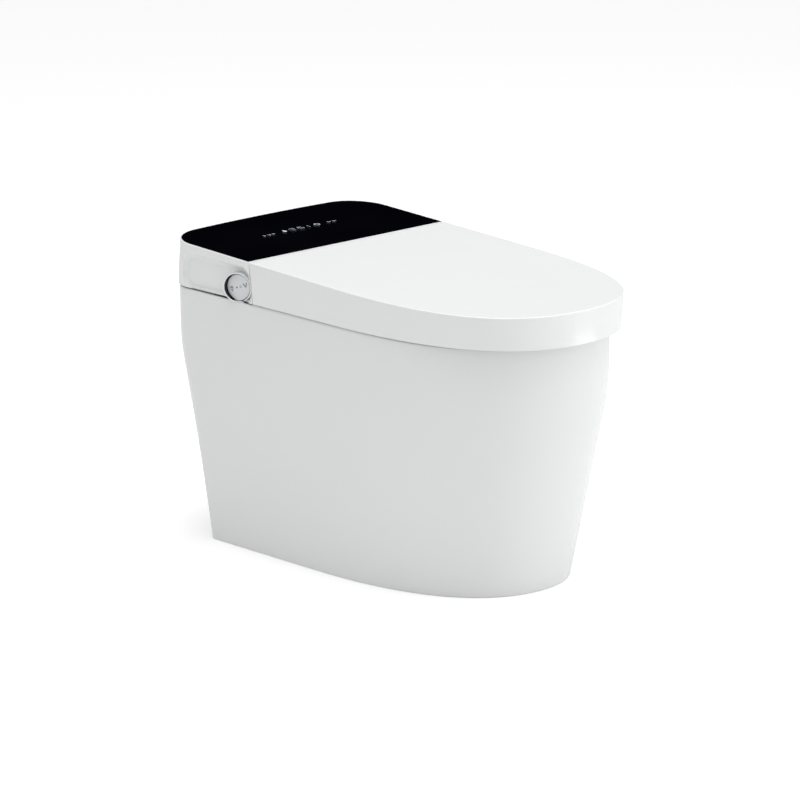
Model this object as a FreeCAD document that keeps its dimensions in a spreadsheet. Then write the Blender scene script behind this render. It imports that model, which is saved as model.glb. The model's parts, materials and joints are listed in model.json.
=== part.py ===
"""Skirted floor-standing smart toilet with a heated seat.

Frame: the origin is on the floor under the waste outlet, +X is to the right seen from the
front, the front of the bowl faces -Y and +Z is up. All sizes are millimetres.
"""
import FreeCAD, Part
import math
import os

V = FreeCAD.Vector
UP = V(0, 0, 1)

SIZES = [
    # outline of the top: cover and lid share it
    ("top_half_width", 200), ("top_rear", 290), ("top_corner", 62),
    ("top_side_end", -92), ("top_tip", -414), ("top_fullness", 0.685),
    ("shell_tall", 65.5), ("top_slope_deg", 2.06), ("top_crown", 3),
    # lower edge of the cover and the lid: how far it stands off the top outline
    ("side_draw", 3), ("rear_draw", 2.5), ("tip_draw", 4), ("side_end_draw", 4),
    ("seam_corner", 52), ("seam_fullness", 0.652),
    # outlines of the ceramic at its rim and at the floor, by their distance from the top's
    ("rim_z", 392.5), ("rim_inset", 1.5), ("rim_back", 15), ("rim_fullness", 0.61),
    ("rim_round", 4), ("kink_drop", 92.5), ("kink_soft", 14),
    ("base_side_draw", 26), ("base_rear_draw", 74.5), ("base_tip_draw", 86),
    ("base_corner", 6), ("base_side_end", -21), ("base_fullness", 0.642),
    ("ceramic_wall", 11), ("deck_thick", 16),
    # bowl
    ("bowl_centre", -160), ("bowl_half_width", 118), ("bowl_half_length", 165),
    ("sump_radius", 34), ("sump_z", 118), ("bowl_wall", 12),
    # waste way
    ("trap_bore", 25), ("trap_wall", 9), ("trap_bend", 37.5), ("trap_low_z", 95),
    ("trap_high_z", 150), ("outlet_bore", 45), ("outlet_wall", 11), ("outlet_depth", 40),
    ("outlet_lift", 2), ("seal_width", 11), ("seal_tall", 22),
    # openings of the ceramic
    ("service_half_width", 110), ("service_tall", 150),
    ("bay_side", 50), ("bay_front", 118), ("bay_rear_edge", 18),
    ("lug_front", 120), ("lug_long", 50), ("lug_tall", 66), ("lug_reach", 128),
    # floor brackets
    ("bracket_thick", 4), ("bracket_wide", 40), ("bracket_foot", 46), ("bracket_tall", 52),
    ("floor_bolt_hole", 4.5), ("bracket_screw", 3), ("bracket_screw_long", 20),
    ("bracket_screw_drop", 14), ("bracket_screw_step", 10), ("screw_play", 0.3),
    # service plate
    ("plate_screw", 2), ("plate_screw_long", 14), ("plate_screw_out", 7),
    ("plate_screw_low", 22), ("plate_screw_drop", 8), ("plate_margin", 12),
    ("plate_thick", 3), ("plate_low_z", 8), ("plate_tall", 132),
    # flushing jet
    ("jet_x", 30), ("jet_drop", 120.5), ("jet_radius", 6), ("jet_bore", 3.5),
    ("jet_rear", -20), ("jet_long", 42),
    # shells
    ("lid_gap", 0.8), ("cover_gap", 2), ("lid_wall", 4), ("lid_top_wall", 3),
    ("cover_wall", 4), ("junction_y", 96), ("junction_gap", 0.6), ("junction_lean", 4.5),
    # glass
    ("glass_thick", 4), ("glass_inset", 1.6), ("glass_lip", 2.4), ("glass_gap", 0.2),
    # hinge
    ("hinge_back", 11.4), ("hinge_drop", 6), ("hinge_swing", 9.6), ("pin_radius", 2.5),
    ("running_gap", 0.05), ("seat_lug_radius", 4.5), ("seat_lug_wide", 18),
    ("lid_lug_wide", 14), ("lug_side_gap", 1), ("damper_radius", 4.6), ("damper_long", 26),
    # hinge housing
    ("housing_half_width", 92), ("housing_front", 32), ("cradle_tall", 14),
    ("housing_wall", 3),
    # seat
    ("seat_gap", 2.5), ("seat_lift", 5.5), ("seat_thick", 26), ("seat_base_thick", 4),
    ("seat_wall", 4), ("seat_hole_centre", -178), ("seat_hole_half_width", 105),
    ("seat_hole_half_length", 146), ("seat_round", 7), ("seat_bridge_rear", 27),
    ("tunnel_low_x", -32), ("tunnel_high_x", 88), ("tunnel_roof", 7.5), ("arm_clear", 5),
    ("arm_back", 7), ("heater_thick", 1.2), ("bumper_radius", 8), ("bumper_gap", 0.3),
    # lid liner
    ("liner_lift", 3), ("liner_thick", 2.5), ("liner_rear", 24),
    # knob
    ("knob_sink", 6), ("knob_y", 125.7), ("knob_lift", 21.1), ("knob_turn_deg", 15),
    ("knob_radius", 20.4), ("knob_deep", 11), ("bezel_radius", 23.2), ("bezel_wall", 1.2),
    ("bezel_proud", 8), ("mouth_turn_deg", 9), ("mouth_out", 3.5), ("bezel_deep", 17),
    ("knob_shaft", 3), ("knob_shaft_long", 32),
    ("sleeve_wall", 1.8), ("sleeve_long", 12), ("knob_travel", 3), ("spring_wire", 0.9),
    ("boss_long", 6), ("knob_hub_wall", 2.5), ("knob_face", 2.5), ("knob_round", 1.5),
    ("bezel_clear", 0.6), ("spring_turns", 4), ("encoder_side", 15), ("encoder_thick", 8),
    ("scoop_y", 125), ("scoop_lift", 23), ("scoop_half_deep", 20), ("scoop_front", 33.3),
    ("scoop_back", 134), ("scoop_half_tall", 36), ("scoop_deep", 12), ("knob_pad", 15),
    ("knob_pad_rear", 250),
    ("knob_pad_tall", 54.5),
    # nozzle
    ("nozzle_tilt_deg", 10), ("nozzle_tip_y", 34), ("nozzle_lift", 15),
    ("nozzle_radius", 6.5), ("nozzle_long", 150), ("nozzle_bore", 2), ("tip_long", 24),
    ("guide_wall", 2), ("guide_gap", 0.4), ("guide_long", 86), ("guide_start", 6),
    ("rack_module", 1), ("rack_width", 5), ("pinion_teeth", 14), ("pinion_width", 6),
    ("tooth_gap", 0.25), ("pinion_x", 16), ("pinion_back", 18),
    ("motor_lift", 5.2), ("stepper_radius", 12), ("stepper_long", 13),
    # display
    ("display_left", -104), ("display_wide", 184), ("display_front", 180),
    ("display_deep", 24), ("display_drop", 5.5), ("display_margin", 4),
    ("display_light_thick", 4),
    # warm air
    ("duct_x", 62), ("duct_width", 34), ("duct_height", 15), ("duct_wall", 1.6),
    ("flap_thick", 1.8), ("flap_pin", 1.2), ("blower_radius", 30), ("blower_height", 26),
    ("blower_y", 152), ("fan_radius", 24), ("fan_blades", 12), ("fan_shaft", 1.5),
    ("motor_radius", 14), ("motor_long", 19),
    # pan and what stands in it
    ("pan_gap", 6), ("pan_deep", 92.5), ("pan_wall", 3), ("flange_thick", 2),
    ("flange_inset", 9), ("flange_front", 30), ("gasket_inset", 2), ("screw_radius", 2.5),
    ("screw_head", 5), ("screw_head_tall", 3), ("screw_long", 12), ("unit_gap", 1),
    ("tank_y", 160), ("tank_wide", 62), ("tank_long", 100), ("tank_tall", 46),
    ("pump_side_gap", 4), ("pump_y", 152), ("pump_radius", 27), ("pump_long", 78),
    ("valve_gap", 4), ("valve_y", 128), ("valve_side", 34),
    ("supply_gap", 18), ("supply_y", 150), ("supply_wide", 62), ("supply_long", 96),
    ("supply_tall", 34), ("board_gap", 3), ("board_back", 2), ("board_lift", 52),
    ("board_wide", 120), ("board_long", 74), ("board_thick", 1.6), ("relay_tall", 15),
    ("hose_radius", 5), ("hose_wall", 1.2), ("hose_bend", 12), ("hose_run_y", 138),
    ("inlet_radius", 10.48), ("inlet_long", 16), ("inlet_bore", 6.5), ("inlet_x", 62),
    ("inlet_z", 92), ("inlet_tail", 14), ("gland_radius", 9), ("gland_bore", 4),
    ("gland_x", -62),
]

# What follows from the driving sizes, so that mating pieces keep together.
TIES = [
    ("seam_half_width", "dims.top_half_width - dims.side_draw"),
    ("seam_rear", "dims.top_rear + dims.rear_draw"),
    ("seam_side_end", "dims.top_side_end - dims.side_end_draw"),
    ("seam_tip", "dims.top_tip - dims.tip_draw"),
    ("rim_tip", "dims.top_tip + dims.rim_back"),
    ("base_half_width", "dims.top_half_width - dims.base_side_draw"),
    ("base_rear", "dims.top_rear - dims.base_rear_draw"),
    ("base_tip", "dims.top_tip + dims.base_tip_draw"),
    ("lid_edge_z", "dims.rim_z + dims.shell_tall"),
    ("kink_z", "dims.rim_z - dims.kink_drop"),
    ("jet_z", "dims.rim_z - dims.jet_drop"),
    ("bay_half_width", "dims.top_half_width - dims.bay_side"),
    ("bay_rear", "dims.top_rear - dims.bay_rear_edge"),
    ("housing_z", "dims.rim_z + dims.shell_tall - dims.hinge_drop - dims.cradle_tall"),
    ("seat_low_z", "dims.rim_z + dims.seat_lift"),
    ("seat_top_z", "dims.rim_z + dims.seat_lift + dims.seat_thick"),
    ("liner_z", "dims.rim_z + dims.seat_lift + dims.seat_thick + dims.liner_lift"),
    ("tunnel_z", "dims.rim_z + dims.seat_lift + dims.seat_thick - dims.tunnel_roof"),
    ("arm_inner", "dims.housing_half_width + dims.arm_clear"),
    ("arm_rear", "dims.junction_y - dims.arm_back"),
    ("knob_x", "dims.knob_sink - dims.top_half_width"),
    ("knob_z", "dims.rim_z + dims.knob_lift"),
    ("scoop_z", "dims.rim_z + dims.scoop_lift"),
    ("knob_pad_top", "dims.rim_z + dims.knob_pad_tall"),
    ("nozzle_tip_z", "dims.rim_z + dims.nozzle_lift"),
    ("display_z", "dims.rim_z + dims.shell_tall - dims.display_drop"),
    ("pan_half_width", "dims.top_half_width - dims.bay_side - dims.pan_gap"),
    ("pan_front", "dims.bay_front + dims.pan_gap"),
    ("pan_rear", "dims.top_rear - dims.bay_rear_edge - dims.pan_gap"),
    ("pan_floor_z", "dims.rim_z - dims.pan_deep"),
    ("board_z", "dims.rim_z - dims.pan_deep + dims.board_lift"),
    ("tank_x", "dims.bay_side + dims.pan_gap + dims.pan_wall + dims.unit_gap"
               " - dims.top_half_width"),
    ("pump_x", "dims.top_half_width - dims.bay_side - dims.pan_gap - dims.pan_wall"
               " - dims.pump_radius - dims.pump_side_gap"),
    ("supply_x", "dims.bay_side + dims.pan_gap + dims.pan_wall + dims.unit_gap"
                 " - dims.top_half_width + dims.tank_wide + dims.supply_gap"),
    ("board_x", "dims.bay_side + dims.pan_gap + dims.pan_wall + dims.unit_gap"
                " - dims.top_half_width + dims.tank_wide + dims.board_gap"),
    ("board_y", "dims.valve_y + dims.valve_side + dims.board_back"),
    ("valve_x", "dims.top_half_width - dims.bay_side - dims.pan_gap - dims.pan_wall"
                " - 2 * dims.pump_radius - dims.pump_side_gap - dims.valve_gap"
                " - dims.valve_side"),
]



doc = FreeCAD.newDocument("smart_toilet")
sheet = doc.addObject("Spreadsheet::Sheet", "dims")
for row_number, (size_name, size_value) in enumerate(SIZES, start=1):
    sheet.set("A%d" % row_number, size_name)
    sheet.set("B%d" % row_number, str(size_value))
    sheet.setAlias("B%d" % row_number, size_name)
ties = doc.addObject("App::FeaturePython", "ties")
for tie_name, tie_formula in TIES:
    ties.addProperty("App::PropertyFloat", tie_name)
    ties.setExpression(tie_name, tie_formula)
doc.recompute()
subparts = {}


def size(name):
    """A driving dimension, or one that follows from them, as a plain number."""
    if name in ties.PropertiesList:
        return float(getattr(ties, name))
    return float(sheet.get(name))


def keep(node, item):
    """Name an object of the document as one finished sub-part."""
    item.Label = node
    subparts[node] = item
    return item


def solid_node(node, shape):
    """A sub-part whose shape is worked out with lofts and sweeps."""
    item = doc.addObject("Part::Feature", node)
    item.Shape = shape
    return keep(node, item)


# ---- frames: each returns the three place expressions of a local point ----

def world(across=0, along=0, height=0):
    return ("%s" % across, "%s" % along, "%s" % height)


def facing_out(degrees):
    """Turns the upright axis to point out of the left side, swung to the front."""
    swing = math.radians(degrees)
    return FreeCAD.Rotation(V(math.sin(swing), -math.cos(swing), 0), UP, V(), "XYZ")


KNOB_ROTATION = facing_out(size("knob_turn_deg"))
MOUTH_ROTATION = facing_out(size("knob_turn_deg") + size("mouth_turn_deg"))
NOZZLE_ROTATION = FreeCAD.Rotation(V(1, 0, 0), 90 + size("nozzle_tilt_deg"))
ALONG_X = FreeCAD.Rotation(UP, V(1, 0, 0))
ALONG_Y = FreeCAD.Rotation(UP, V(0, 1, 0))
NO_TURN = FreeCAD.Rotation()


def on_knob(out):
    """A point on the knob's axis, measured outwards from its face."""
    return ("ties.knob_x - cos(dims.knob_turn_deg) * (%s)" % out,
            "dims.knob_y - sin(dims.knob_turn_deg) * (%s)" % out, "ties.knob_z")


def on_nozzle(out, side="0", above="0"):
    """A point measured from the nozzle's tip: along it, to its side and above it."""
    tilt = "dims.nozzle_tilt_deg"
    return (side,
            "dims.nozzle_tip_y - sin(%s) * (%s) - cos(%s) * (%s)" % (tilt, above, tilt, out),
            "ties.nozzle_tip_z + cos(%s) * (%s) - sin(%s) * (%s)" % (tilt, above, tilt, out))


# ---- document primitives bound to the sheet ----

def primitive(kind, sizes, place, turn=NO_TURN):
    item = doc.addObject("Part::" + kind, kind.lower())
    item.Placement = FreeCAD.Placement(V(), turn)
    for prop, expression in sizes.items():
        item.setExpression(prop, "%s" % expression)
    for axis, expression in zip("xyz", place):
        item.setExpression("Placement.Base." + axis, "%s" % expression)
    return item


def rod(radius, length, place, turn=NO_TURN):
    return primitive("Cylinder", {"Radius": radius, "Height": length}, place, turn)


def block(wide, deep, tall, place, turn=NO_TURN):
    return primitive("Box", {"Length": wide, "Width": deep, "Height": tall}, place, turn)


def joined(*items):
    item = doc.addObject("Part::MultiFuse", "joined")
    item.Shapes = list(items)
    item.Refine = True
    return item


def cut(base, *tools):
    item = doc.addObject("Part::Cut", "cut")
    item.Base = base
    item.Tool = tools[0] if len(tools) == 1 else joined(*tools)
    return item


def tube(radius, bore, length, place, turn=NO_TURN):
    longer = rod(bore, "%s + 2" % length, place, turn)
    shift = turn.multVec(UP)
    for axis, expression, part in zip("xyz", place, shift):
        longer.setExpression("Placement.Base." + axis, "%s - %.6f" % (expression, part))
    return cut(rod(radius, length, place, turn), longer)


# ---- shapes worked out in code ----

def outline(level, half_width, rear, corner, side_end, tip, fullness):
    """Flat closed outline: straight rear, round corners, straight sides and a full nose."""
    corner_mid = corner * (1 - math.sqrt(0.5))
    right_rear = Part.Arc(V(half_width - corner, rear, level),
                          V(half_width - corner_mid, rear - corner_mid, level),
                          V(half_width, rear - corner, level))
    left_rear = Part.Arc(V(-half_width, rear - corner, level),
                         V(corner_mid - half_width, rear - corner_mid, level),
                         V(corner - half_width, rear, level))
    nose_long = side_end - tip
    right_nose = Part.BezierCurve()
    right_nose.setPoles([V(half_width, side_end, level),
                         V(half_width, side_end - fullness * nose_long, level),
                         V(fullness * half_width, tip, level), V(0, tip, level)])
    left_nose = Part.BezierCurve()
    left_nose.setPoles([V(0, tip, level), V(-fullness * half_width, tip, level),
                        V(-half_width, side_end - fullness * nose_long, level),
                        V(-half_width, side_end, level)])
    sides = [
        Part.LineSegment(V(corner - half_width, rear, level), V(half_width - corner, rear, level)),
        right_rear,
        Part.LineSegment(V(half_width, rear - corner, level), V(half_width, side_end, level)),
        right_nose, left_nose,
        Part.LineSegment(V(-half_width, side_end, level), V(-half_width, rear - corner, level)),
        left_rear,
    ]
    return Part.Wire([side.toShape() for side in sides])


def inner_corner(corner, inset):
    """A corner's radius inside a wall: near corner minus inset, and never below zero."""
    return corner * corner / (corner + inset)


def seam_outline(level, inset=0.0):
    return outline(level, size("seam_half_width") - inset, size("seam_rear") - inset,
                   inner_corner(size("seam_corner"), inset), size("seam_side_end"),
                   size("seam_tip") + inset, size("seam_fullness"))


def top_outline(inset=0.0):
    """The top edge, in the plane that falls from the rear to the tip."""
    wire = outline(0, size("top_half_width") - inset, size("top_rear") - inset,
                   inner_corner(size("top_corner"), inset), size("top_side_end"),
                   size("top_tip") + inset, size("top_fullness"))
    wire.rotate(V(0, size("junction_y"), 0), V(1, 0, 0), size("top_slope_deg"))
    wire.translate(V(0, 0, size("lid_edge_z")))
    return wire


def slope_normal():
    slope = math.radians(size("top_slope_deg"))
    return V(0, -math.sin(slope), math.cos(slope))


def crown_body(drop):
    """Everything under the crowned top surface, lowered by a thickness."""
    half_width = size("top_half_width")
    crown = size("top_crown")
    radius = (half_width ** 2 + crown ** 2) / (2 * crown)
    slope = math.radians(size("top_slope_deg"))
    length = 4 * half_width + size("top_rear") - size("top_tip")
    along = V(0, math.cos(slope), math.sin(slope))
    ridge = V(0, size("junction_y"), size("lid_edge_z") + crown)
    start = ridge - slope_normal() * radius - along * (length / 2)
    return Part.makeCylinder(radius - drop, length, start, along)


def envelope(inset, drop, low_z, overshoot=20.0):
    """The common outer body of cover and lid, set in by a wall and lowered by a top wall."""
    seam = seam_outline(size("rim_z"), inset)
    low = seam_outline(size("rim_z") - overshoot, inset)
    top = top_outline(inset)
    high = top.copy()
    high.translate(slope_normal() * overshoot)
    body = Part.makeLoft([low, seam, top, high], True, True).common(crown_body(drop))
    far = 4 * size("top_half_width")
    return body.common(box_between((-far, -far, low_z), (far, far, far))).Solids[0]


def junction_side(front, shift):
    """Half space in front of, or behind, the leaning parting plane of lid and cover."""
    far = 1200.0
    lean = math.degrees(math.atan2(size("junction_lean"), size("lid_edge_z") - size("rim_z")))
    start_y = shift - far if front else shift
    space = Part.makeBox(2 * far, far, 2 * far, V(-far, start_y, -far))
    space.rotate(V(), V(1, 0, 0), -lean)
    space.translate(V(0, size("junction_y"), size("lid_edge_z")))
    return space


def hinge_centre():
    return V(0, size("junction_y") - size("hinge_back"), size("lid_edge_z") - size("hinge_drop"))


def behind_hinge(radius):
    """The corner above and behind the hinge axis that a swinging lid has to leave free."""
    centre = hinge_centre()
    reach = 2 * size("top_half_width")
    corner = Part.makeBox(reach, reach, reach, V(-reach / 2, centre.y, centre.z))
    sweep = Part.makeCylinder(radius, reach, V(-reach / 2, centre.y, centre.z), V(1, 0, 0))
    return corner.cut(sweep)


def box_between(low, high):
    return Part.makeBox(high[0] - low[0], high[1] - low[1], high[2] - low[2], V(*low))


def ellipse_wire(centre_y, half_width, half_length, level):
    centre = V(0, centre_y, level)
    curve = Part.Ellipse(centre + V(0, half_length, 0), centre + V(half_width, 0, 0), centre)
    return Part.Wire(curve.toShape())


def taper_share(level):
    """How far the skirt has drawn in at a height: 0 at the rim, 1 on the floor."""
    soft = size("kink_soft")

    def ramp(depth):
        return (depth + math.sqrt(depth * depth + 4 * soft * soft)) / 2

    top = ramp(size("kink_z") - size("rim_z"))
    return (ramp(size("kink_z") - level) - top) / (ramp(size("kink_z")) - top)


def skirt_outline(level, inset=0.0):
    """The ceramic's outline at a height."""
    share = taper_share(level)
    corner_share = share ** 1.5

    def blend(rim, base, part=share):
        return rim + (base - rim) * part

    corner = blend(size("seam_corner"), size("base_corner"), corner_share)
    return outline(
        level,
        blend(size("seam_half_width") - size("rim_inset"), size("base_half_width")) - inset,
        blend(size("seam_rear") - size("rim_inset"), size("base_rear")) - inset,
        inner_corner(corner, inset) if inset else corner,
        blend(size("seam_side_end"), size("base_side_end")),
        blend(size("rim_tip"), size("base_tip")) + inset,
        blend(size("rim_fullness"), size("base_fullness")))


def skirt_body(inset, low_z, high_z):
    """Skirt as one body through outlines that crowd together at the kink."""
    kink = size("kink_z")
    soft = size("kink_soft")
    bend_levels = [kink + step * soft for step in (4, 2, 1, 0, -1, -2, -4)]
    low_levels = [kink * share for share in (0.6, 0.35, 0.12)]
    levels = [level for level in bend_levels + low_levels if low_z < level < high_z]
    levels = [high_z] + levels + [low_z]
    wires = [skirt_outline(max(level, 0.0), inset) for level in levels]
    for wire, level in zip(wires, levels):
        wire.translate(V(0, 0, level - max(level, 0.0)))
    return Part.makeLoft(wires, True, True)


def trap_path(extra=0.0):
    """Centre line of the waste way: down from the sump, up to the weir and down to the outlet."""
    bend = size("trap_bend")
    low = size("trap_low_z")
    high = size("trap_high_z")
    sump_y = -4 * bend
    points = [V(0, sump_y, size("sump_z") + size("bowl_wall")), V(0, sump_y, low), V(0, sump_y + bend, low - bend),
              V(0, sump_y + 2 * bend, low), V(0, sump_y + 2 * bend, high),
              V(0, -bend, high + bend), V(0, 0, high),
              V(0, 0, size("outlet_lift") + size("outlet_depth") - extra)]
    return Part.Wire([
        Part.LineSegment(points[0], points[1]).toShape(),
        Part.Arc(points[1], points[2], points[3]).toShape(),
        Part.LineSegment(points[3], points[4]).toShape(),
        Part.Arc(points[4], points[5], points[6]).toShape(),
        Part.LineSegment(points[6], points[7]).toShape(),
    ])


def swept(path, radius):
    start = path.OrderedVertexes[0].Point
    heading = path.OrderedEdges[0].tangentAt(path.OrderedEdges[0].FirstParameter)
    ring = Part.Wire(Part.Circle(start, heading, radius).toShape())
    return path.makePipeShell([ring], True, True)


def bowl_body(wall):
    """The inside of the bowl, or with a wall its outside."""
    centre = size("bowl_centre")
    sump_y = -4 * size("trap_bend")
    wide = size("bowl_half_width")
    long = size("bowl_half_length")
    rim = size("rim_z")
    sump_z = size("sump_z") - wall
    sump = size("sump_radius")
    sump_long = 1.15 * sump
    drop = rim - sump_z
    # shares of the way from the sump to the rim: height, width, front and rear
    shares = [(1.0, 1.0, 1.0, 1.0), (0.78, 0.93, 0.97, 0.86), (0.45, 0.70, 0.76, 0.22),
              (0.16, 0.22, 0.25, 0.0), (0.0, 0.0, 0.0, 0.0)]
    wires = []
    for height_share, width_share, front_share, rear_share in shares:
        above = 1.0 if height_share == 1.0 and not wall else 0.0
        level = sump_z + drop * height_share + above
        half_width = sump + (wide - sump) * width_share + wall
        front = (sump_y - sump_long) * (1 - front_share) + (centre - long) * front_share
        rear = (sump_y + sump_long) * (1 - rear_share) + (centre + long) * rear_share
        wires.append(ellipse_wire((front + rear) / 2, half_width, (rear - front) / 2 + wall,
                                  level))
    return Part.makeLoft(wires, True, False)


# ---- ceramic ----

def chassis_screw_places():
    side = (size("seam_half_width") + size("bay_half_width")) / 2 - 3
    return [V(sign * side, along, size("rim_z"))
            for sign in (-1, 1) for along in (size("bay_front") - 12, size("bay_rear") - 20)]


def bracket_screw_places():
    middle = size("lug_front") + size("lug_long") / 2
    height = size("bracket_tall") - size("bracket_screw_drop")
    step = size("bracket_screw_step")
    return [V(sign * size("lug_reach"), middle + shift, height)
            for sign in (-1, 1) for shift in (-step, step)]


def plate_screw_places():
    rear = size("lug_front") + size("lug_long")
    across = size("lug_reach") + size("plate_screw_out")
    heights = (size("plate_screw_low"), size("lug_tall") - size("plate_screw_drop"))
    return [V(sign * across, rear, height) for sign in (-1, 1) for height in heights]


def jet_axis():
    return V(size("jet_x"), 0, size("jet_z"))


def skirt_holes():
    """Holes in the lugs for the screws of the brackets and the service plate."""
    holes = [Part.makeCylinder(size("bracket_screw"), size("bracket_screw_long"), place,
                               V(math.copysign(1, place.x), 0, 0))
             for place in bracket_screw_places()]
    holes += [Part.makeCylinder(size("plate_screw"), size("plate_screw_long"), place,
                                V(0, -1, 0)) for place in plate_screw_places()]
    return holes


def under_deck():
    """Everything below the rim's deck."""
    far = 4 * size("top_half_width")
    return box_between((-far, -far, -1), (far, far, size("rim_z") - size("deck_thick")))


def skirt_outside():
    """The outer form of the ceramic with its rounded rim."""
    rim = size("rim_z")
    outer = skirt_body(0.0, 0.0, rim)
    rim_edges = [edge for edge in outer.Edges
                 if abs(edge.BoundBox.ZMin - rim) < 0.01 and abs(edge.BoundBox.ZMax - rim) < 0.01]
    return outer.makeFillet(size("rim_round"), rim_edges)


def add_ceramic_rim():
    """Deck round the bowl's mouth and the bay of the chassis, with the chassis' screw holes."""
    rim = size("rim_z")
    deck = size("deck_thick")
    bay = box_between((-size("bay_half_width"), size("bay_front"), rim - 2 * deck),
                      (size("bay_half_width"), size("bay_rear"), rim + 1))
    holes = [Part.makeCylinder(size("screw_radius"), size("screw_long"), place, V(0, 0, -1))
             for place in chassis_screw_places()]
    body = skirt_outside().cut([under_deck(), bowl_body(0.0), bay] + holes)
    return solid_node("ceramic_rim", body.removeSplitter())


def add_ceramic_skirt():
    """Hollow skirt under the deck, open below, with two lugs inside and the rear opening."""
    wall = size("ceramic_wall")
    far = 4 * size("top_half_width")
    outer = skirt_outside()
    hollow = skirt_body(wall, -1.0, size("rim_z") - size("deck_thick"))
    reach = size("lug_reach")
    lugs = box_between((-far, size("lug_front"), 0),
                       (far, size("lug_front") + size("lug_long"), size("lug_tall")))
    lugs = lugs.cut(box_between((-reach, -far, -1), (reach, far, far))).common(outer)
    service = box_between((-size("service_half_width"), size("base_rear") - 4 * wall, -1),
                          (size("service_half_width"), far, size("service_tall")))
    body = outer.common(under_deck()).cut(hollow).fuse(lugs).cut([service] + skirt_holes())
    return solid_node("ceramic_skirt", body.removeSplitter())


def add_ceramic_bowl():
    """Bowl hanging from the deck, down to its sump, with the flushing jet's hole."""
    start = jet_axis() + V(0, size("jet_rear") + 1, 0)
    jet_hole = Part.makeCylinder(size("jet_radius"), size("jet_long") + 2, start, V(0, -1, 0))
    body = bowl_body(size("bowl_wall")).common(under_deck())
    body = body.cut([bowl_body(0.0), swept(trap_path(3.0), size("trap_bore")), jet_hole])
    return solid_node("ceramic_bowl", body.removeSplitter())


def add_ceramic_trapway():
    """Waste way from the sump over the weir to the outlet horn."""
    lift = size("outlet_lift")
    pipe = swept(trap_path(), size("trap_bore") + size("trap_wall"))
    horn = Part.makeCylinder(size("outlet_bore") + size("outlet_wall"),
                             size("outlet_depth") + size("outlet_wall"), V(0, 0, lift))
    bore = Part.makeCylinder(size("outlet_bore"), size("outlet_depth") + 1, V(0, 0, lift - 1))
    body = pipe.fuse(horn).cut([bowl_body(size("bowl_wall")), bore,
                                swept(trap_path(3.0), size("trap_bore"))])
    return solid_node("ceramic_trapway", body.removeSplitter())


# ---- cover and glass ----

def knob_place(out=0.0):
    turn = math.radians(size("knob_turn_deg"))
    return V(size("knob_x") - math.cos(turn) * out, size("knob_y") - math.sin(turn) * out,
             size("knob_z"))


def knob_cylinder(radius, low, high):
    return Part.makeCylinder(radius, high - low, knob_place(low),
                             knob_place(1) - knob_place(0))


def scoop_half(reach, front):
    """Half of an egg-shaped cutter, cut square where the other half meets it."""
    stretch = FreeCAD.Matrix()
    stretch.scale(V(size("scoop_half_deep"), reach, size("scoop_half_tall")))
    egg = Part.makeSphere(1.0).transformGeometry(stretch)
    span = 2 * max(size("scoop_half_deep"), size("scoop_half_tall"))
    near, far = (-2 * reach, 0) if front else (0, 2 * reach)
    return egg.common(box_between((-span, near, -span), (span, far, span)))


def scoop_body():
    """Dish in the cover's side around the knob: short to the front, long to the rear."""
    dish = scoop_half(size("scoop_front"), True)
    dish = dish.fuse(scoop_half(size("scoop_back"), False)).removeSplitter()
    out = size("scoop_half_deep") - size("scoop_deep")
    dish.translate(V(-size("top_half_width") - out, size("scoop_y"), size("scoop_z")))
    return dish


def glass_sheet(gap):
    """The panel's sheet; a gap makes the pocket it lies in."""
    thick = size("glass_thick")
    inset = size("glass_inset") - gap
    upper = crown_body(-2.0 if gap else 0.0)
    body = envelope(inset, -3.0, size("rim_z") - 10).common(upper)
    body = body.cut(crown_body(thick + gap / 2))
    return body.cut(junction_side(True, size("glass_lip") - gap))


def add_rear_cover():
    low = size("rim_z") + size("cover_gap")
    wall = size("cover_wall")
    outer = envelope(0.0, 0.0, low).cut(junction_side(True, 0.0))
    inner = envelope(wall, size("glass_thick") + wall, low - 10)
    hollow = inner.cut(junction_side(True, wall))
    pad_low = (-size("top_half_width"), size("junction_y") - 10, low)
    pad_high = (-size("seam_half_width") + size("knob_pad"), size("knob_pad_rear"),
                size("knob_pad_top"))
    pad = box_between(pad_low, pad_high)
    body = outer.cut(hollow.cut(pad))
    body = body.cut([scoop_body(), glass_sheet(size("glass_gap"))])
    body = body.cut(knob_cylinder(size("bezel_radius") + size("glass_gap"),
                                  -2 * size("bezel_deep"), 2 * size("bezel_deep")))
    gap = size("glass_gap")
    wide = size("housing_half_width") - size("housing_wall")
    mouth = box_between((-wide, size("housing_front"), low - 1),
                        (wide, size("junction_y") + wall + 4,
                         size("housing_z") - size("housing_wall") - gap))
    window = box_between((size("display_left"), size("display_front"), size("housing_z")),
                         (size("display_left") + size("display_wide"),
                          size("display_front") + size("display_deep"), size("lid_edge_z") + 1))
    return solid_node("rear_cover", body.cut([mouth, window]).removeSplitter())


def add_glass_panel():
    return solid_node("glass_panel", glass_sheet(0.0))


# ---- lid ----

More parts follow.
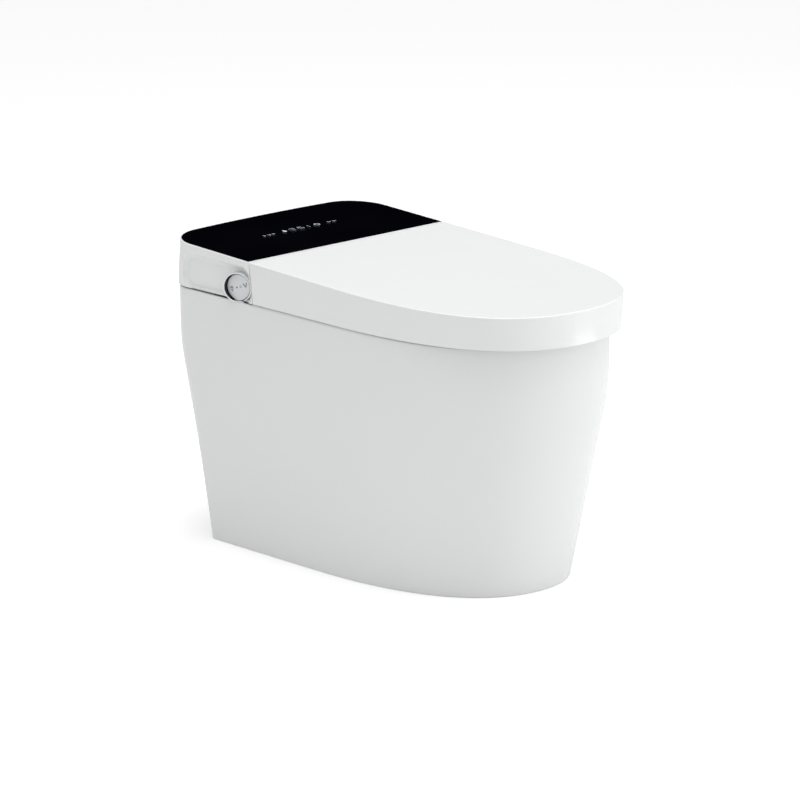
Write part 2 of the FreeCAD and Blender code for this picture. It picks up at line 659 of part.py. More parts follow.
def add_lid_shell():
    low = size("rim_z") + size("lid_gap")
    wall = size("lid_wall")
    front = junction_side(True, -size("junction_gap"))
    outer = envelope(0.0, 0.0, low).common(front).cut(behind_hinge(size("hinge_swing")))
    inner = envelope(wall, size("lid_top_wall"), low - 10)
    inner = inner.cut(behind_hinge(size("hinge_swing") - size("lid_top_wall")))
    shell = outer.cut(inner)
    centre = hinge_centre()
    radius = size("seat_lug_radius")
    start = size("arm_inner") + size("seat_lug_wide") + size("lug_side_gap")
    wide = size("lid_lug_wide")
    lugs = []
    for left in (start, -start - wide):
        eye = Part.makeCylinder(radius, wide, V(left, centre.y, centre.z), V(1, 0, 0))
        web = box_between((left, centre.y - 4 * radius, centre.z - radius),
                          (left + wide, centre.y, centre.z + 4 * radius))
        lugs += [eye, web.common(outer)]
    reach = start + wide + 1
    bore = Part.makeCylinder(size("pin_radius") + size("running_gap"), 2 * reach,
                             V(-reach, centre.y, centre.z), V(1, 0, 0))
    return solid_node("lid_shell", shell.fuse(lugs).cut(bore).removeSplitter())


# ---- seat ----

def seat_outline_body(inset, low, high, rear):
    wire = seam_outline(low, size("lid_wall") + size("seat_gap") + inset)
    body = Part.Face(wire).extrude(V(0, 0, high - low))
    far = 600.0
    return body.common(box_between((-far, -far, low - 1), (far, rear, high + 1)))


def seat_hole(grow, low, high):
    ring = ellipse_wire(size("seat_hole_centre"), size("seat_hole_half_width") + grow,
                        size("seat_hole_half_length") + grow, low)
    return Part.Face(ring).extrude(V(0, 0, high - low))


def arm_gap(grow, low, high):
    """Room between the two arms for the hinge housing."""
    half_width = size("arm_inner") + grow
    return box_between((-half_width, size("seat_bridge_rear") - grow, low),
                       (half_width, 2 * size("arm_rear"), high))


def nozzle_tunnel(grow, low):
    return box_between((size("tunnel_low_x") - grow, size("seat_hole_centre"), low),
                       (size("tunnel_high_x") + grow, size("seat_bridge_rear") + 1,
                        size("tunnel_z") + grow))


def seat_ring(inset, low, high):
    body = seat_outline_body(inset, low, high, size("arm_rear") - inset)
    return body.cut([seat_hole(inset, low - 1, high + 1), arm_gap(inset, low - 1, high + 1)])


def add_seat_top():
    low = size("seat_low_z") + size("seat_base_thick")
    high = size("seat_top_z")
    wall = size("seat_wall")
    ring = seat_ring(0.0, low, high)
    crest = [edge for edge in ring.Edges
             if abs(edge.BoundBox.ZMin - high) < 0.01 and abs(edge.BoundBox.ZMax - high) < 0.01
             and not isinstance(edge.Curve, Part.Line)]
    ring = ring.makeFillet(size("seat_round"), crest)
    hollow = seat_ring(wall, low - 1, high - wall).cut(nozzle_tunnel(wall, low - 2))
    centre = hinge_centre()
    radius = size("seat_lug_radius")
    wide = size("seat_lug_wide")
    lugs = []
    for left in (size("arm_inner"), -size("arm_inner") - wide):
        eye = Part.makeCylinder(radius, wide, V(left, centre.y, centre.z), V(1, 0, 0))
        web = box_between((left, centre.y - 3 * radius, high - wall),
                          (left + wide, centre.y - 2, centre.z))
        lugs += [eye, web]
    reach = size("arm_inner") + wide + 1
    bore = Part.makeCylinder(size("pin_radius") + size("running_gap"), 2 * reach,
                             V(-reach, centre.y, centre.z), V(1, 0, 0))
    body = ring.cut([hollow, nozzle_tunnel(0.0, low - 2)]).fuse(lugs).cut(bore)
    return solid_node("seat_top", body.removeSplitter())


def add_seat_base():
    low = size("seat_low_z")
    body = seat_ring(0.0, low, low + size("seat_base_thick"))
    return solid_node("seat_base", body.cut(nozzle_tunnel(0.0, low - 1)))


def add_seat_heater():
    high = size("seat_top_z") - size("seat_wall") - size("running_gap")
    low = high - size("heater_thick")
    wall = 2 * size("seat_wall")
    body = seat_ring(wall, low, high).cut(nozzle_tunnel(wall, low - 1))
    front = size("seat_bridge_rear") - 2 * wall
    far = 600.0
    return solid_node("seat_heater", body.common(box_between((-far, -far, 0), (far, front, far))))


def add_lid_liner():
    low = size("liner_z")
    wire = seam_outline(low, size("lid_wall") + size("running_gap"))
    body = Part.Face(wire).extrude(V(0, 0, size("liner_thick")))
    far = 600.0
    body = body.common(box_between((-far, -far, 0), (far, size("liner_rear"), far)))
    room = envelope(size("lid_wall"), size("lid_top_wall"), size("rim_z") - 10)
    return solid_node("lid_liner", body.common(room))


def both_sides(make, *args):
    """The same piece on the left and the right, as one group."""
    return joined(make(-1, *args), make(1, *args))


def pads_under(low, high, radius, places):
    return joined(*[rod(radius, "%s - (%s)" % (high, low), world(across, along, low))
                    for across, along in places])


def add_bumpers():
    side = "dims.seat_hole_half_width + (ties.seam_half_width - dims.seat_hole_half_width) / 2"
    middle = "dims.seat_hole_centre + dims.seat_hole_half_length / 2"
    nose = "(dims.seat_hole_centre - dims.seat_hole_half_length + ties.seam_tip) / 2"
    spread = "dims.seat_hole_half_width * 0.5"
    places = [("-(%s)" % side, middle), (side, middle),
              ("-(%s)" % spread, nose), (spread, nose)]
    keep("seat_bumpers", pads_under("dims.rim_z + dims.bumper_gap", "ties.seat_low_z",
                                    "dims.bumper_radius", places))
    places = [("-(%s)" % side, middle), (side, middle)]
    keep("lid_bumpers", pads_under("ties.seat_top_z + dims.bumper_gap", "ties.liner_z",
                                   "dims.bumper_radius", places))


# ---- hinge ----

HINGE_Y = "dims.junction_y - dims.hinge_back"
HINGE_Z = "ties.lid_edge_z - dims.hinge_drop"


def hinge_pin(side):
    long = ("ties.arm_inner + dims.seat_lug_wide + dims.lug_side_gap + dims.lid_lug_wide"
            " - dims.housing_half_width")
    start = "dims.housing_half_width" if side > 0 else "-dims.housing_half_width - (%s)" % long
    return rod("dims.pin_radius", long, world(start, HINGE_Y, HINGE_Z), ALONG_X)


def add_hinge_pins():
    keep("hinge_pins", both_sides(hinge_pin))


def add_dampers():
    for node, start in (("seat_damper", "dims.housing_half_width - dims.damper_long"),
                        ("lid_damper", "-dims.housing_half_width")):
        case = rod("dims.damper_radius", "dims.damper_long", world(start, HINGE_Y, HINGE_Z),
                   ALONG_X)
        key = block("dims.damper_long - 4", "2", "dims.damper_radius + 3",
                    world("%s + 2" % start, "%s - 1 - dims.damper_radius" % HINGE_Y,
                          "%s - dims.damper_radius - 3" % HINGE_Z))
        keep(node, joined(case, key))


def damper_cradle(side):
    start = "dims.housing_half_width - dims.damper_long" if side > 0 else \
        "-dims.housing_half_width"
    return block("dims.damper_long", "11", "%s - ties.housing_z + 1" % HINGE_Z,
                 world(start, "%s - 14" % HINGE_Y, "ties.housing_z - 1"))


def add_hinge_housing():
    wide = "2 * dims.housing_half_width"
    floor = "dims.rim_z + dims.flange_thick"
    deep = "%s - dims.housing_front" % HINGE_Y
    box = block(wide, deep, "ties.housing_z - (%s)" % floor,
                world("-dims.housing_half_width", "dims.housing_front", floor))
    room = block("%s - 2 * dims.housing_wall" % wide, deep,
                 "ties.housing_z - (%s) - dims.housing_wall + 1" % floor,
                 world("dims.housing_wall - dims.housing_half_width",
                       "dims.housing_front + dims.housing_wall", "%s - 1" % floor))
    cradles = both_sides(damper_cradle)
    nozzle_hole = rod("dims.nozzle_radius + dims.guide_gap", "30", on_nozzle("-20"),
                      NOZZLE_ROTATION)
    rack_slot = block("dims.pinion_x + 2", "dims.rack_width + 1", "30",
                      on_nozzle("-20", "0", "-dims.rack_width / 2 - 0.5"), NOZZLE_ROTATION)
    air_hole = block("dims.duct_width + 1", "20", "dims.duct_height + 1",
                     world("dims.duct_x - dims.duct_width / 2 - 0.5",
                           "dims.housing_front - 5", "%s + 1.5" % floor))
    damper_room = rod("dims.damper_radius + 0.1", "%s + 2" % wide,
                      world("-dims.housing_half_width - 1", HINGE_Y, HINGE_Z), ALONG_X)
    key_room = block("%s + 2" % wide, "2.2", "dims.damper_radius + 3.2",
                     world("-dims.housing_half_width - 1",
                           "%s - 1.1 - dims.damper_radius" % HINGE_Y,
                           "%s - dims.damper_radius - 3.1" % HINGE_Z))
    ears = joined(*[flap_ear(side) for side in (-1, 1)])
    ear_bore = rod("dims.flap_pin + dims.running_gap", "dims.duct_width + 12",
                   world("dims.duct_x - dims.duct_width / 2 - 6", FLAP_Y, FLAP_Z), ALONG_X)
    shell = cut(joined(box, cradles, ears), room, nozzle_hole, rack_slot, air_hole,
                damper_room, key_room, ear_bore)
    keep("hinge_housing", shell)


# ---- warm air ----

DUCT_FLOOR = "dims.rim_z + dims.flange_thick + 2"
FLAP_Y = "dims.housing_front - dims.flap_pin - 0.6"
FLAP_Z = "%s + dims.duct_height + dims.flap_pin + 0.6" % DUCT_FLOOR
BLOWER_X = "dims.duct_x + dims.blower_radius - dims.duct_width / 2"


def flap_ear(side):
    half = "dims.duct_width / 2"
    left = "dims.duct_x + %s + 0.4" % half if side > 0 else "dims.duct_x - %s - 3.4" % half
    return block("3", "dims.housing_front + 1 - (%s) + 2.2" % FLAP_Y, "2 * dims.flap_pin + 3",
                 world(left, "%s - 2.2" % FLAP_Y, "%s - dims.flap_pin - 1.5" % FLAP_Z))


def add_dryer():
    left = "dims.duct_x - dims.duct_width / 2"
    start = "dims.housing_front + dims.housing_wall + 0.5"
    long = "dims.blower_y - (%s)" % start
    outer = block("dims.duct_width", long, "dims.duct_height", world(left, start, DUCT_FLOOR))
    way = block("dims.duct_width - 2 * dims.duct_wall", "%s + 20" % long,
                "dims.duct_height - 2 * dims.duct_wall",
                world("%s + dims.duct_wall" % left, "%s - 10" % start,
                      "%s + dims.duct_wall" % DUCT_FLOOR))
    scroll_room = rod("dims.blower_radius", "dims.blower_height + 2",
                      world(BLOWER_X, "dims.blower_y", "%s - 1" % DUCT_FLOOR))
    keep("air_duct", cut(outer, way, scroll_room))
    case = rod("dims.blower_radius", "dims.blower_height",
               world(BLOWER_X, "dims.blower_y", DUCT_FLOOR))
    room = rod("dims.blower_radius - dims.duct_wall",
               "dims.blower_height - 2 * dims.duct_wall",
               world(BLOWER_X, "dims.blower_y", "%s + dims.duct_wall" % DUCT_FLOOR))
    eye = rod("dims.fan_radius * 0.6", "dims.duct_wall * 2 + 1",
              world(BLOWER_X, "dims.blower_y", "%s - 1" % DUCT_FLOOR))
    shaft_hole = rod("dims.fan_shaft + dims.running_gap", "dims.duct_wall * 2",
                     world(BLOWER_X, "dims.blower_y",
                           "%s + dims.blower_height - dims.duct_wall * 1.5" % DUCT_FLOOR))
    outlet = block("dims.duct_width - 2 * dims.duct_wall", "dims.blower_radius",
                   "dims.duct_height - 2 * dims.duct_wall",
                   world("%s + dims.duct_wall" % left, "dims.blower_y - dims.blower_radius",
                         "%s + dims.duct_wall" % DUCT_FLOOR))
    keep("blower_case", cut(case, room, eye, shaft_hole, outlet))
    motor = rod("dims.motor_radius", "dims.motor_long",
                world(BLOWER_X, "dims.blower_y", "%s + dims.blower_height" % DUCT_FLOOR))
    keep("blower_motor", cut(motor, rod("dims.fan_shaft + dims.running_gap",
                                        "dims.motor_long * 0.7",
                                        world(BLOWER_X, "dims.blower_y",
                                              "%s + dims.blower_height - 1" % DUCT_FLOOR))))
    plate = block("dims.duct_width - 2 * dims.duct_wall - 1", "30", "1.2",
                  world("%s + dims.duct_wall + 0.5" % left, "dims.junction_y - 30",
                        "%s + dims.duct_height / 2" % DUCT_FLOOR))
    keep("air_heater", plate)


def add_fan():
    floor = "%s + dims.duct_wall + 1.5" % DUCT_FLOOR
    tall = "dims.blower_height - 2 * dims.duct_wall - 3"
    disc = rod("dims.fan_radius", "1.5", world(BLOWER_X, "dims.blower_y",
                                               "%s + %s - 1.5" % (floor, tall)))
    hub = rod("dims.fan_shaft + 3", tall, world(BLOWER_X, "dims.blower_y", floor))
    count = int(size("fan_blades"))
    blades = []
    for number in range(count):
        angle = 360.0 / count * number
        turn = FreeCAD.Rotation(UP, angle)
        place = world("%s + cos(%s) * dims.fan_radius * 0.72" % (BLOWER_X, angle),
                      "dims.blower_y + sin(%s) * dims.fan_radius * 0.72" % angle, floor)
        blades.append(block("dims.fan_radius * 0.26", "1.2", tall, place, turn))
    spindle = rod("dims.fan_shaft", "%s + dims.motor_long * 0.5 + 4" % tall,
                  world(BLOWER_X, "dims.blower_y", floor))
    keep("fan_wheel", cut(joined(disc, hub, *blades),
                          rod("dims.fan_shaft", "%s + 2" % tall,
                              world(BLOWER_X, "dims.blower_y", "%s - 1" % floor))))
    keep("fan_spindle", spindle)


def add_dryer_flap():
    wide = "dims.duct_width - 1"
    left = "dims.duct_x - (%s) / 2" % wide
    tall = "dims.duct_height"
    plate = block(wide, "dims.flap_thick", tall,
                  world(left, "%s - dims.flap_thick / 2" % FLAP_Y, "%s - %s" % (FLAP_Z, tall)))
    pin = rod("dims.flap_pin", "dims.duct_width + 6",
              world("dims.duct_x - dims.duct_width / 2 - 3", FLAP_Y, FLAP_Z), ALONG_X)
    keep("dryer_flap", joined(plate, pin))


# ---- knob ----

def add_knob():
    turn = KNOB_ROTATION
    back = "dims.bezel_deep"
    sleeve = "dims.knob_shaft + dims.running_gap + dims.sleeve_wall"
    cup = rod("dims.bezel_radius", "dims.bezel_proud + %s" % back, on_knob("-%s" % back), turn)
    cup_room = rod("dims.bezel_radius - dims.bezel_wall", "dims.bezel_proud + %s" % back,
                   on_knob("2 - %s" % back), turn)
    boss = rod("%s + 3" % sleeve, "dims.boss_long", on_knob("-%s - dims.boss_long" % back), turn)
    guide = rod("%s + dims.running_gap" % sleeve, "dims.boss_long + 6",
                on_knob("-%s - dims.boss_long - 1" % back), turn)
    edge_room = block("ties.seam_half_width", "4 * dims.bezel_radius", "dims.bezel_radius",
                      world("-ties.seam_half_width - dims.bezel_clear",
                            "dims.knob_y - 2 * dims.bezel_radius",
                            "dims.rim_z + dims.cover_gap + 0.2 - dims.bezel_radius"))
    mouth_room = rod("3 * dims.bezel_radius", "3 * dims.bezel_proud",
                     on_knob("dims.mouth_out"), MOUTH_ROTATION)
    keep("knob_bezel", cut(joined(cup, boss), cup_room, guide, edge_room, mouth_room))
    cap = rod("dims.knob_radius", "dims.knob_deep", on_knob("-dims.knob_deep"), turn)
    hub_radius = "dims.knob_shaft + dims.knob_hub_wall"
    ring_room = cut(rod("dims.knob_radius - 2", "dims.knob_deep",
                        on_knob("-dims.knob_deep - dims.knob_face"), turn),
                    rod(hub_radius, "dims.knob_deep + 2",
                        on_knob("-dims.knob_deep - dims.knob_face - 1"), turn))
    bore = rod("dims.knob_shaft", "dims.knob_deep", on_knob("-dims.knob_deep - dims.knob_face"),
               turn)
    round_cap = doc.addObject("Part::Fillet", "knob_round")
    round_cap.Base = cap
    front_edge = 3
    round_cap.Edges = [(front_edge, size("knob_round"), size("knob_round"))]
    keep("knob_cap", cut(round_cap, ring_room, bore))
    keep("knob_shaft", rod("dims.knob_shaft", "dims.knob_shaft_long - dims.knob_face",
                           on_knob("-dims.knob_shaft_long"), turn))
    keep("knob_sleeve", tube(sleeve, "dims.knob_shaft + dims.running_gap", "dims.sleeve_long",
                             on_knob("-dims.knob_deep - 0.2 - dims.sleeve_long"), turn))
    side = "dims.encoder_side"
    start = "-dims.knob_shaft_long - dims.knob_travel - 2.5"
    corner = KNOB_ROTATION.multVec(V(-size("encoder_side") / 2, -size("encoder_side") / 2, 0))
    place = ["%s + %.6f" % (expression, part)
             for expression, part in zip(on_knob(start), corner)]
    case = block(side, side, "dims.encoder_thick", place, turn)
    keep("knob_encoder", cut(case, rod("dims.knob_shaft + 0.2", "dims.encoder_thick",
                                       on_knob("%s + 2" % start), turn)))


def add_knob_spring():
    """Spring of square wire between the bezel's floor and the knob."""
    wire = size("spring_wire")
    radius = size("knob_shaft") + size("knob_hub_wall") + 1.5 + wire
    low = 2 - size("bezel_deep") + wire / 2 + 0.1
    high = -size("knob_face") - wire / 2 - 0.1
    pitch = (high - low) / size("spring_turns")
    helix = Part.makeHelix(pitch, high - low, radius)
    corners = [V(radius + across * wire / 2, 0, above * wire / 2)
               for across, above in ((-1, -1), (1, -1), (1, 1), (-1, 1))]
    profile = Part.makePolygon(corners + corners[:1])
    coil = Part.Wire(helix.Edges).makePipeShell([profile], True, True)
    item = solid_node("knob_spring", coil)
    item.Placement = FreeCAD.Placement(knob_place(low), KNOB_ROTATION)


# ---- nozzle ----

def add_nozzle():
    turn = NOZZLE_ROTATION
    wand_long = "dims.nozzle_long - dims.tip_long"
    flat = "dims.nozzle_radius - 1.5"
    wand = rod("dims.nozzle_radius", wand_long, on_nozzle("-dims.nozzle_long"), turn)
    rack_room = block("5", "dims.rack_width + 0.1", wand_long + " + 2",
                      on_nozzle("-dims.nozzle_long - 1", flat,
                                "-dims.rack_width / 2 - 0.05"), turn)
    water_way = rod("dims.nozzle_bore", wand_long + " + 2", on_nozzle("-dims.nozzle_long - 1"),
                    turn)
    keep("nozzle_wand", cut(wand, rack_room, water_way))
    tip = rod("dims.nozzle_radius", "dims.tip_long", on_nozzle("-dims.tip_long"), turn)
    jets = [rod("0.8", "dims.nozzle_radius + 2", on_nozzle("-%s" % back), FreeCAD.Rotation(
        V(1, 0, 0), size("nozzle_tilt_deg"))) for back in ("6", "10", "15")]
    way = rod("dims.nozzle_bore", "dims.tip_long", on_nozzle("-dims.tip_long - 4"), turn)
    keep("nozzle_tip", cut(tip, way, *jets))
    body = rod("dims.nozzle_radius + dims.guide_gap + dims.guide_wall", "dims.guide_long",
               on_nozzle("-dims.guide_long - dims.guide_start"), turn)
    bore = rod("dims.nozzle_radius + dims.guide_gap", "dims.guide_long + 10",
               on_nozzle("-dims.guide_long - dims.guide_start - 5"), turn)
    slot = block("30", "dims.rack_width + 1.4", "dims.guide_long + 10",
                 on_nozzle("-dims.guide_long - dims.guide_start - 5", "0",
                           "-dims.rack_width / 2 - 0.7"), turn)
    foot = block("12", "dims.junction_y - dims.housing_front", "20",
                 world("-6", "dims.housing_front + dims.housing_wall + 6",
                       "dims.rim_z + dims.flange_thick"))
    top_room = block("40", "200", "40", on_nozzle("-dims.guide_long - 60", "-20", "0"), turn)
    foot_trim = cut(foot, top_room)
    keep("nozzle_guide", cut(joined(body, foot_trim), bore, slot))


def rack_tooth(centre, pitch_x):
    module = size("rack_module")
    half = math.pi * module / 4 - size("tooth_gap") / 2
    lean = 0.364
    width = size("rack_width")
    root = pitch_x - module * 1.1
    crest = pitch_x + module * 0.8
    root_half = half + module * 1.1 * lean
    crest_half = half - module * 0.8 * lean
    points = [V(root, -width / 2, centre - root_half), V(crest, -width / 2, centre - crest_half),
              V(crest, -width / 2, centre + crest_half), V(root, -width / 2, centre + root_half)]
    face = Part.Face(Part.makePolygon(points + points[:1]))
    return face.extrude(V(0, width, 0))


def nozzle_placement():
    return FreeCAD.Placement(V(0, size("nozzle_tip_y"), size("nozzle_tip_z")), NOZZLE_ROTATION)


def add_rack_and_pinion():
    module = size("rack_module")
    pitch = math.pi * module
    teeth = int(size("pinion_teeth"))
    pitch_radius = teeth * module / 2
    base_x = size("nozzle_radius") - 1.5
    pitch_x = size("pinion_x") - pitch_radius
    mesh_z = -size("pinion_back")
    count = int((size("nozzle_long") - size("tip_long") - 2) / pitch)
    low = -size("nozzle_long") + 1
    high = -size("tip_long") - 1
    bar = Part.makeBox(pitch_x - module * 1.1 - base_x + 0.2, size("rack_width"), high - low,
                       V(base_x, -size("rack_width") / 2, low))
    first = mesh_z - pitch / 2
    steps = [step for step in range(-count, count)
             if low + pitch / 2 < first + step * pitch < high - pitch / 2]
    rack = bar.fuse([rack_tooth(first + step * pitch, pitch_x) for step in steps])
    item = solid_node("nozzle_rack", rack.removeSplitter())
    item.Placement = nozzle_placement()
    item = solid_node("nozzle_pinion", pinion_shape(teeth, module, pitch_radius))
    centre = FreeCAD.Placement(V(size("pinion_x"), 0, mesh_z), NO_TURN)
    item.Placement = nozzle_placement().multiply(centre)


def pinion_shape(teeth, module, pitch_radius):
    """Spur wheel in the plane of the rack; one tooth points at the rack."""
    root = pitch_radius - module * 1.1
    crest = pitch_radius + module * 0.8
    half = (math.pi * module / 4 - size("tooth_gap") / 2) / pitch_radius
    corners = []
    for number in range(teeth):
        middle = math.pi + 2 * math.pi * number / teeth
        for radius, angle in ((root, -1.6 * half), (pitch_radius, -half), (crest, -0.45 * half),
                              (crest, 0.45 * half), (pitch_radius, half), (root, 1.6 * half)):
            corners.append(V(radius * math.cos(middle + angle), 0,
                             radius * math.sin(middle + angle)))
    width = size("pinion_width")
    face = Part.Face(Part.makePolygon(corners + corners[:1]))
    wheel = face.extrude(V(0, width, 0))
    wheel.translate(V(0, -width / 2, 0))
    axle = Part.makeCylinder(size("fan_shaft"), width / 2 + size("motor_lift") + 6,
                             V(0, -width / 2, 0), V(0, 1, 0))
    return wheel.fuse(axle).removeSplitter()


def add_nozzle_motor():
    tilt = FreeCAD.Rotation(V(1, 0, 0), size("nozzle_tilt_deg"))
    lift = "dims.pinion_width / 2 + dims.motor_lift"
    case = rod("dims.stepper_radius", "dims.stepper_long",
               on_nozzle("-dims.pinion_back", "dims.pinion_x", lift), tilt)
    hole = rod("dims.fan_shaft + dims.running_gap", "dims.stepper_long",
               on_nozzle("-dims.pinion_back", "dims.pinion_x", "%s - 1" % lift), tilt)
    keep("nozzle_motor", cut(case, hole))


# ---- chassis under the cover ----

def flange_outline_body(inset, rear_only):
    """Plate on the rim, behind a line, set in from the edge."""
    level = size("rim_z")
    face = Part.Face(seam_outline(level, inset))
    body = face.extrude(V(0, 0, size("flange_thick")))
    far = 4 * size("top_half_width")
    return body.common(box_between((-far, rear_only, 0), (far, far, far)))


def knob_clearance():
    return knob_cylinder(size("bezel_radius") + 0.5, -size("bezel_deep") - 4,
                         size("bezel_proud") + 10)


def add_chassis_pan():
    flange = flange_outline_body(size("flange_inset"), size("flange_front"))
    half_width = size("pan_half_width")
    front = size("pan_front")
    rear = size("pan_rear")
    floor = size("pan_floor_z")
    wall = size("pan_wall")
    top = size("rim_z") + size("flange_thick")
    box = box_between((-half_width, front, floor), (half_width, rear, top))
    room = box_between((wall - half_width, front + wall, floor + wall),
                       (half_width - wall, rear - wall, top + 1))
    posts = [Part.makeCylinder(3.0, size("board_z") - floor - wall, V(across, along, floor + wall))
             for across in (size("board_x") + 5, size("board_x") + size("board_wide") - 5)
             for along in (size("board_y") + 4, size("board_y") + size("board_long") - 4)]
    holes = [Part.makeCylinder(size("screw_radius") + size("screw_play"), 10,
                               place - V(0, 0, 5))
             for place in chassis_screw_places()]
    passes = [Part.makeCylinder(size("hose_radius") + 0.5, 3 * wall,
                                V(across, size("hose_run_y"), floor - wall))
              for across in (size("inlet_x"), size("pump_x"), size("gland_x"))]
    body = flange.fuse(box).cut(room).fuse(posts).cut(holes + passes + [knob_clearance()])
    solid_node("chassis_pan", body.removeSplitter())


def add_cover_gasket():
    outer = flange_outline_body(size("gasket_inset"), size("junction_y"))
    inner = flange_outline_body(size("flange_inset") - 1, 0.0)
    solid_node("cover_gasket", outer.cut([inner, knob_clearance()]).removeSplitter())


def screw(place, heading, radius, length, head_radius, head_tall):
    """Shank driven along the heading from its seat, head on the other side."""
    shank = Part.makeCylinder(radius, length, place, heading)
    head = Part.makeCylinder(head_radius, head_tall, place, heading * -1)
    socket = Part.makeCylinder(head_radius * 0.45, head_tall * 0.6,
                               place - heading * head_tall, heading)
    return shank.fuse(head).cut(socket)


def add_screws():
    lift = V(0, 0, size("flange_thick"))
    shapes = [screw(place + lift, V(0, 0, -1), size("screw_radius"), size("screw_long"),
                    size("screw_head"), size("screw_head_tall"))
              for place in chassis_screw_places()]
    solid_node("chassis_screws", Part.makeCompound(shapes))
    shapes = []
    for place in bracket_screw_places():
        heading = V(math.copysign(1, place.x), 0, 0)
        seat = place - heading * size("bracket_thick")
        shapes.append(screw(seat, heading, size("bracket_screw"), size("bracket_screw_long"),
                            2 * size("bracket_screw"), size("screw_head_tall")))
    solid_node("bracket_screws", Part.makeCompound(shapes))
    shapes = [screw(place + V(0, size("plate_thick"), 0), V(0, -1, 0), size("plate_screw"),
                    size("plate_screw_long"), 2 * size("plate_screw"),
                    size("screw_head_tall"))
              for place in plate_screw_places()]
    solid_node("plate_screws", Part.makeCompound(shapes))


def add_floor_brackets():
    thick = size("bracket_thick")
    wide = size("bracket_wide")
    front = size("lug_front") + (size("lug_long") - wide) / 2
    reach = size("lug_reach")
    foot = size("bracket_foot")
    for node, sign in (("floor_bracket_left", -1), ("floor_bracket_right", 1)):
        inner = min(sign * reach, sign * (reach - foot))
        plate = box_between((inner, front, 0), (inner + foot, front + wide, thick))
        wall_x = sign * reach if sign < 0 else reach - thick
        wall = box_between((wall_x, front, 0),
                           (wall_x + thick, front + wide, size("bracket_tall")))
        bolt = Part.makeCylinder(size("floor_bolt_hole"), 4 * thick,
                                 V(sign * (reach - foot / 2), front + wide / 2, -thick))
        holes = [Part.makeCylinder(size("bracket_screw") + size("screw_play"), 4 * thick,
                                   place - V(math.copysign(2 * thick, place.x), 0, 0),
                                   V(math.copysign(1, place.x), 0, 0))
                 for place in bracket_screw_places()]
        solid_node(node, plate.fuse(wall).cut([bolt] + holes).removeSplitter())


def add_outlet_seal():
    horn = "dims.outlet_bore + dims.outlet_wall"
    keep("outlet_seal", tube("%s + dims.seal_width" % horn, horn, "dims.seal_tall",
                             world(0, 0, "dims.outlet_lift / 2")))


# ---- rear service plate ----

PLATE_Y = "dims.lug_front + dims.lug_long"


def add_service_plate():
    reach = "dims.lug_reach + dims.plate_margin"
    plate = block("2 * (%s)" % reach, "dims.plate_thick", "dims.plate_tall",
                  world("-(%s)" % reach, PLATE_Y, "dims.plate_low_z"))
    rear = "%s - 5" % PLATE_Y
    holes = [rod("dims.inlet_bore + 1.7", "20", world("dims.inlet_x", rear, "dims.inlet_z"),
                 ALONG_Y),
             rod("dims.gland_radius - 1.8", "20", world("dims.gland_x", rear, "dims.inlet_z"),
                 ALONG_Y)]
    for place in plate_screw_places():
        holes.append(rod("dims.plate_screw + dims.screw_play", "20",
                         world(place.x, rear, place.z), ALONG_Y))
    keep("service_plate", cut(plate, *holes))


def add_inlet_nipple():
    face = "%s + dims.plate_thick" % PLATE_Y
    flange = rod("dims.inlet_radius + 3", "6", world("dims.inlet_x", face, "dims.inlet_z"),
                 ALONG_Y)
    thread = rod("dims.inlet_radius", "dims.inlet_long",
                 world("dims.inlet_x", "%s + 6" % face, "dims.inlet_z"), ALONG_Y)
    tail = rod("dims.inlet_bore + 1.5", "dims.plate_thick + dims.inlet_tail",
               world("dims.inlet_x", "%s - dims.inlet_tail" % PLATE_Y, "dims.inlet_z"),
               ALONG_Y)
    nut = rod("dims.inlet_radius + 2", "6", world("dims.inlet_x", "%s - 6" % PLATE_Y,
                                                  "dims.inlet_z"), ALONG_Y)
    way = rod("dims.inlet_bore", "60", world("dims.inlet_x", "%s - 20" % PLATE_Y,
                                             "dims.inlet_z"), ALONG_Y)
    keep("inlet_nipple", cut(joined(flange, thread, tail, nut), way))


def add_cord_gland():
    face = "%s + dims.plate_thick" % PLATE_Y
    flange = rod("dims.gland_radius + 2", "3", world("dims.gland_x", face, "dims.inlet_z"),
                 ALONG_Y)
    sleeve = rod("dims.gland_radius - 2", "26", world("dims.gland_x", "%s - 8" % PLATE_Y,
                                                      "dims.inlet_z"), ALONG_Y)
    way = rod("dims.gland_bore", "60", world("dims.gland_x", "%s - 20" % PLATE_Y,
                                             "dims.inlet_z"), ALONG_Y)
    keep("cord_gland", cut(joined(flange, sleeve), way))


# ---- in the pan ----

PAN_FLOOR = "ties.pan_floor_z + dims.pan_wall"


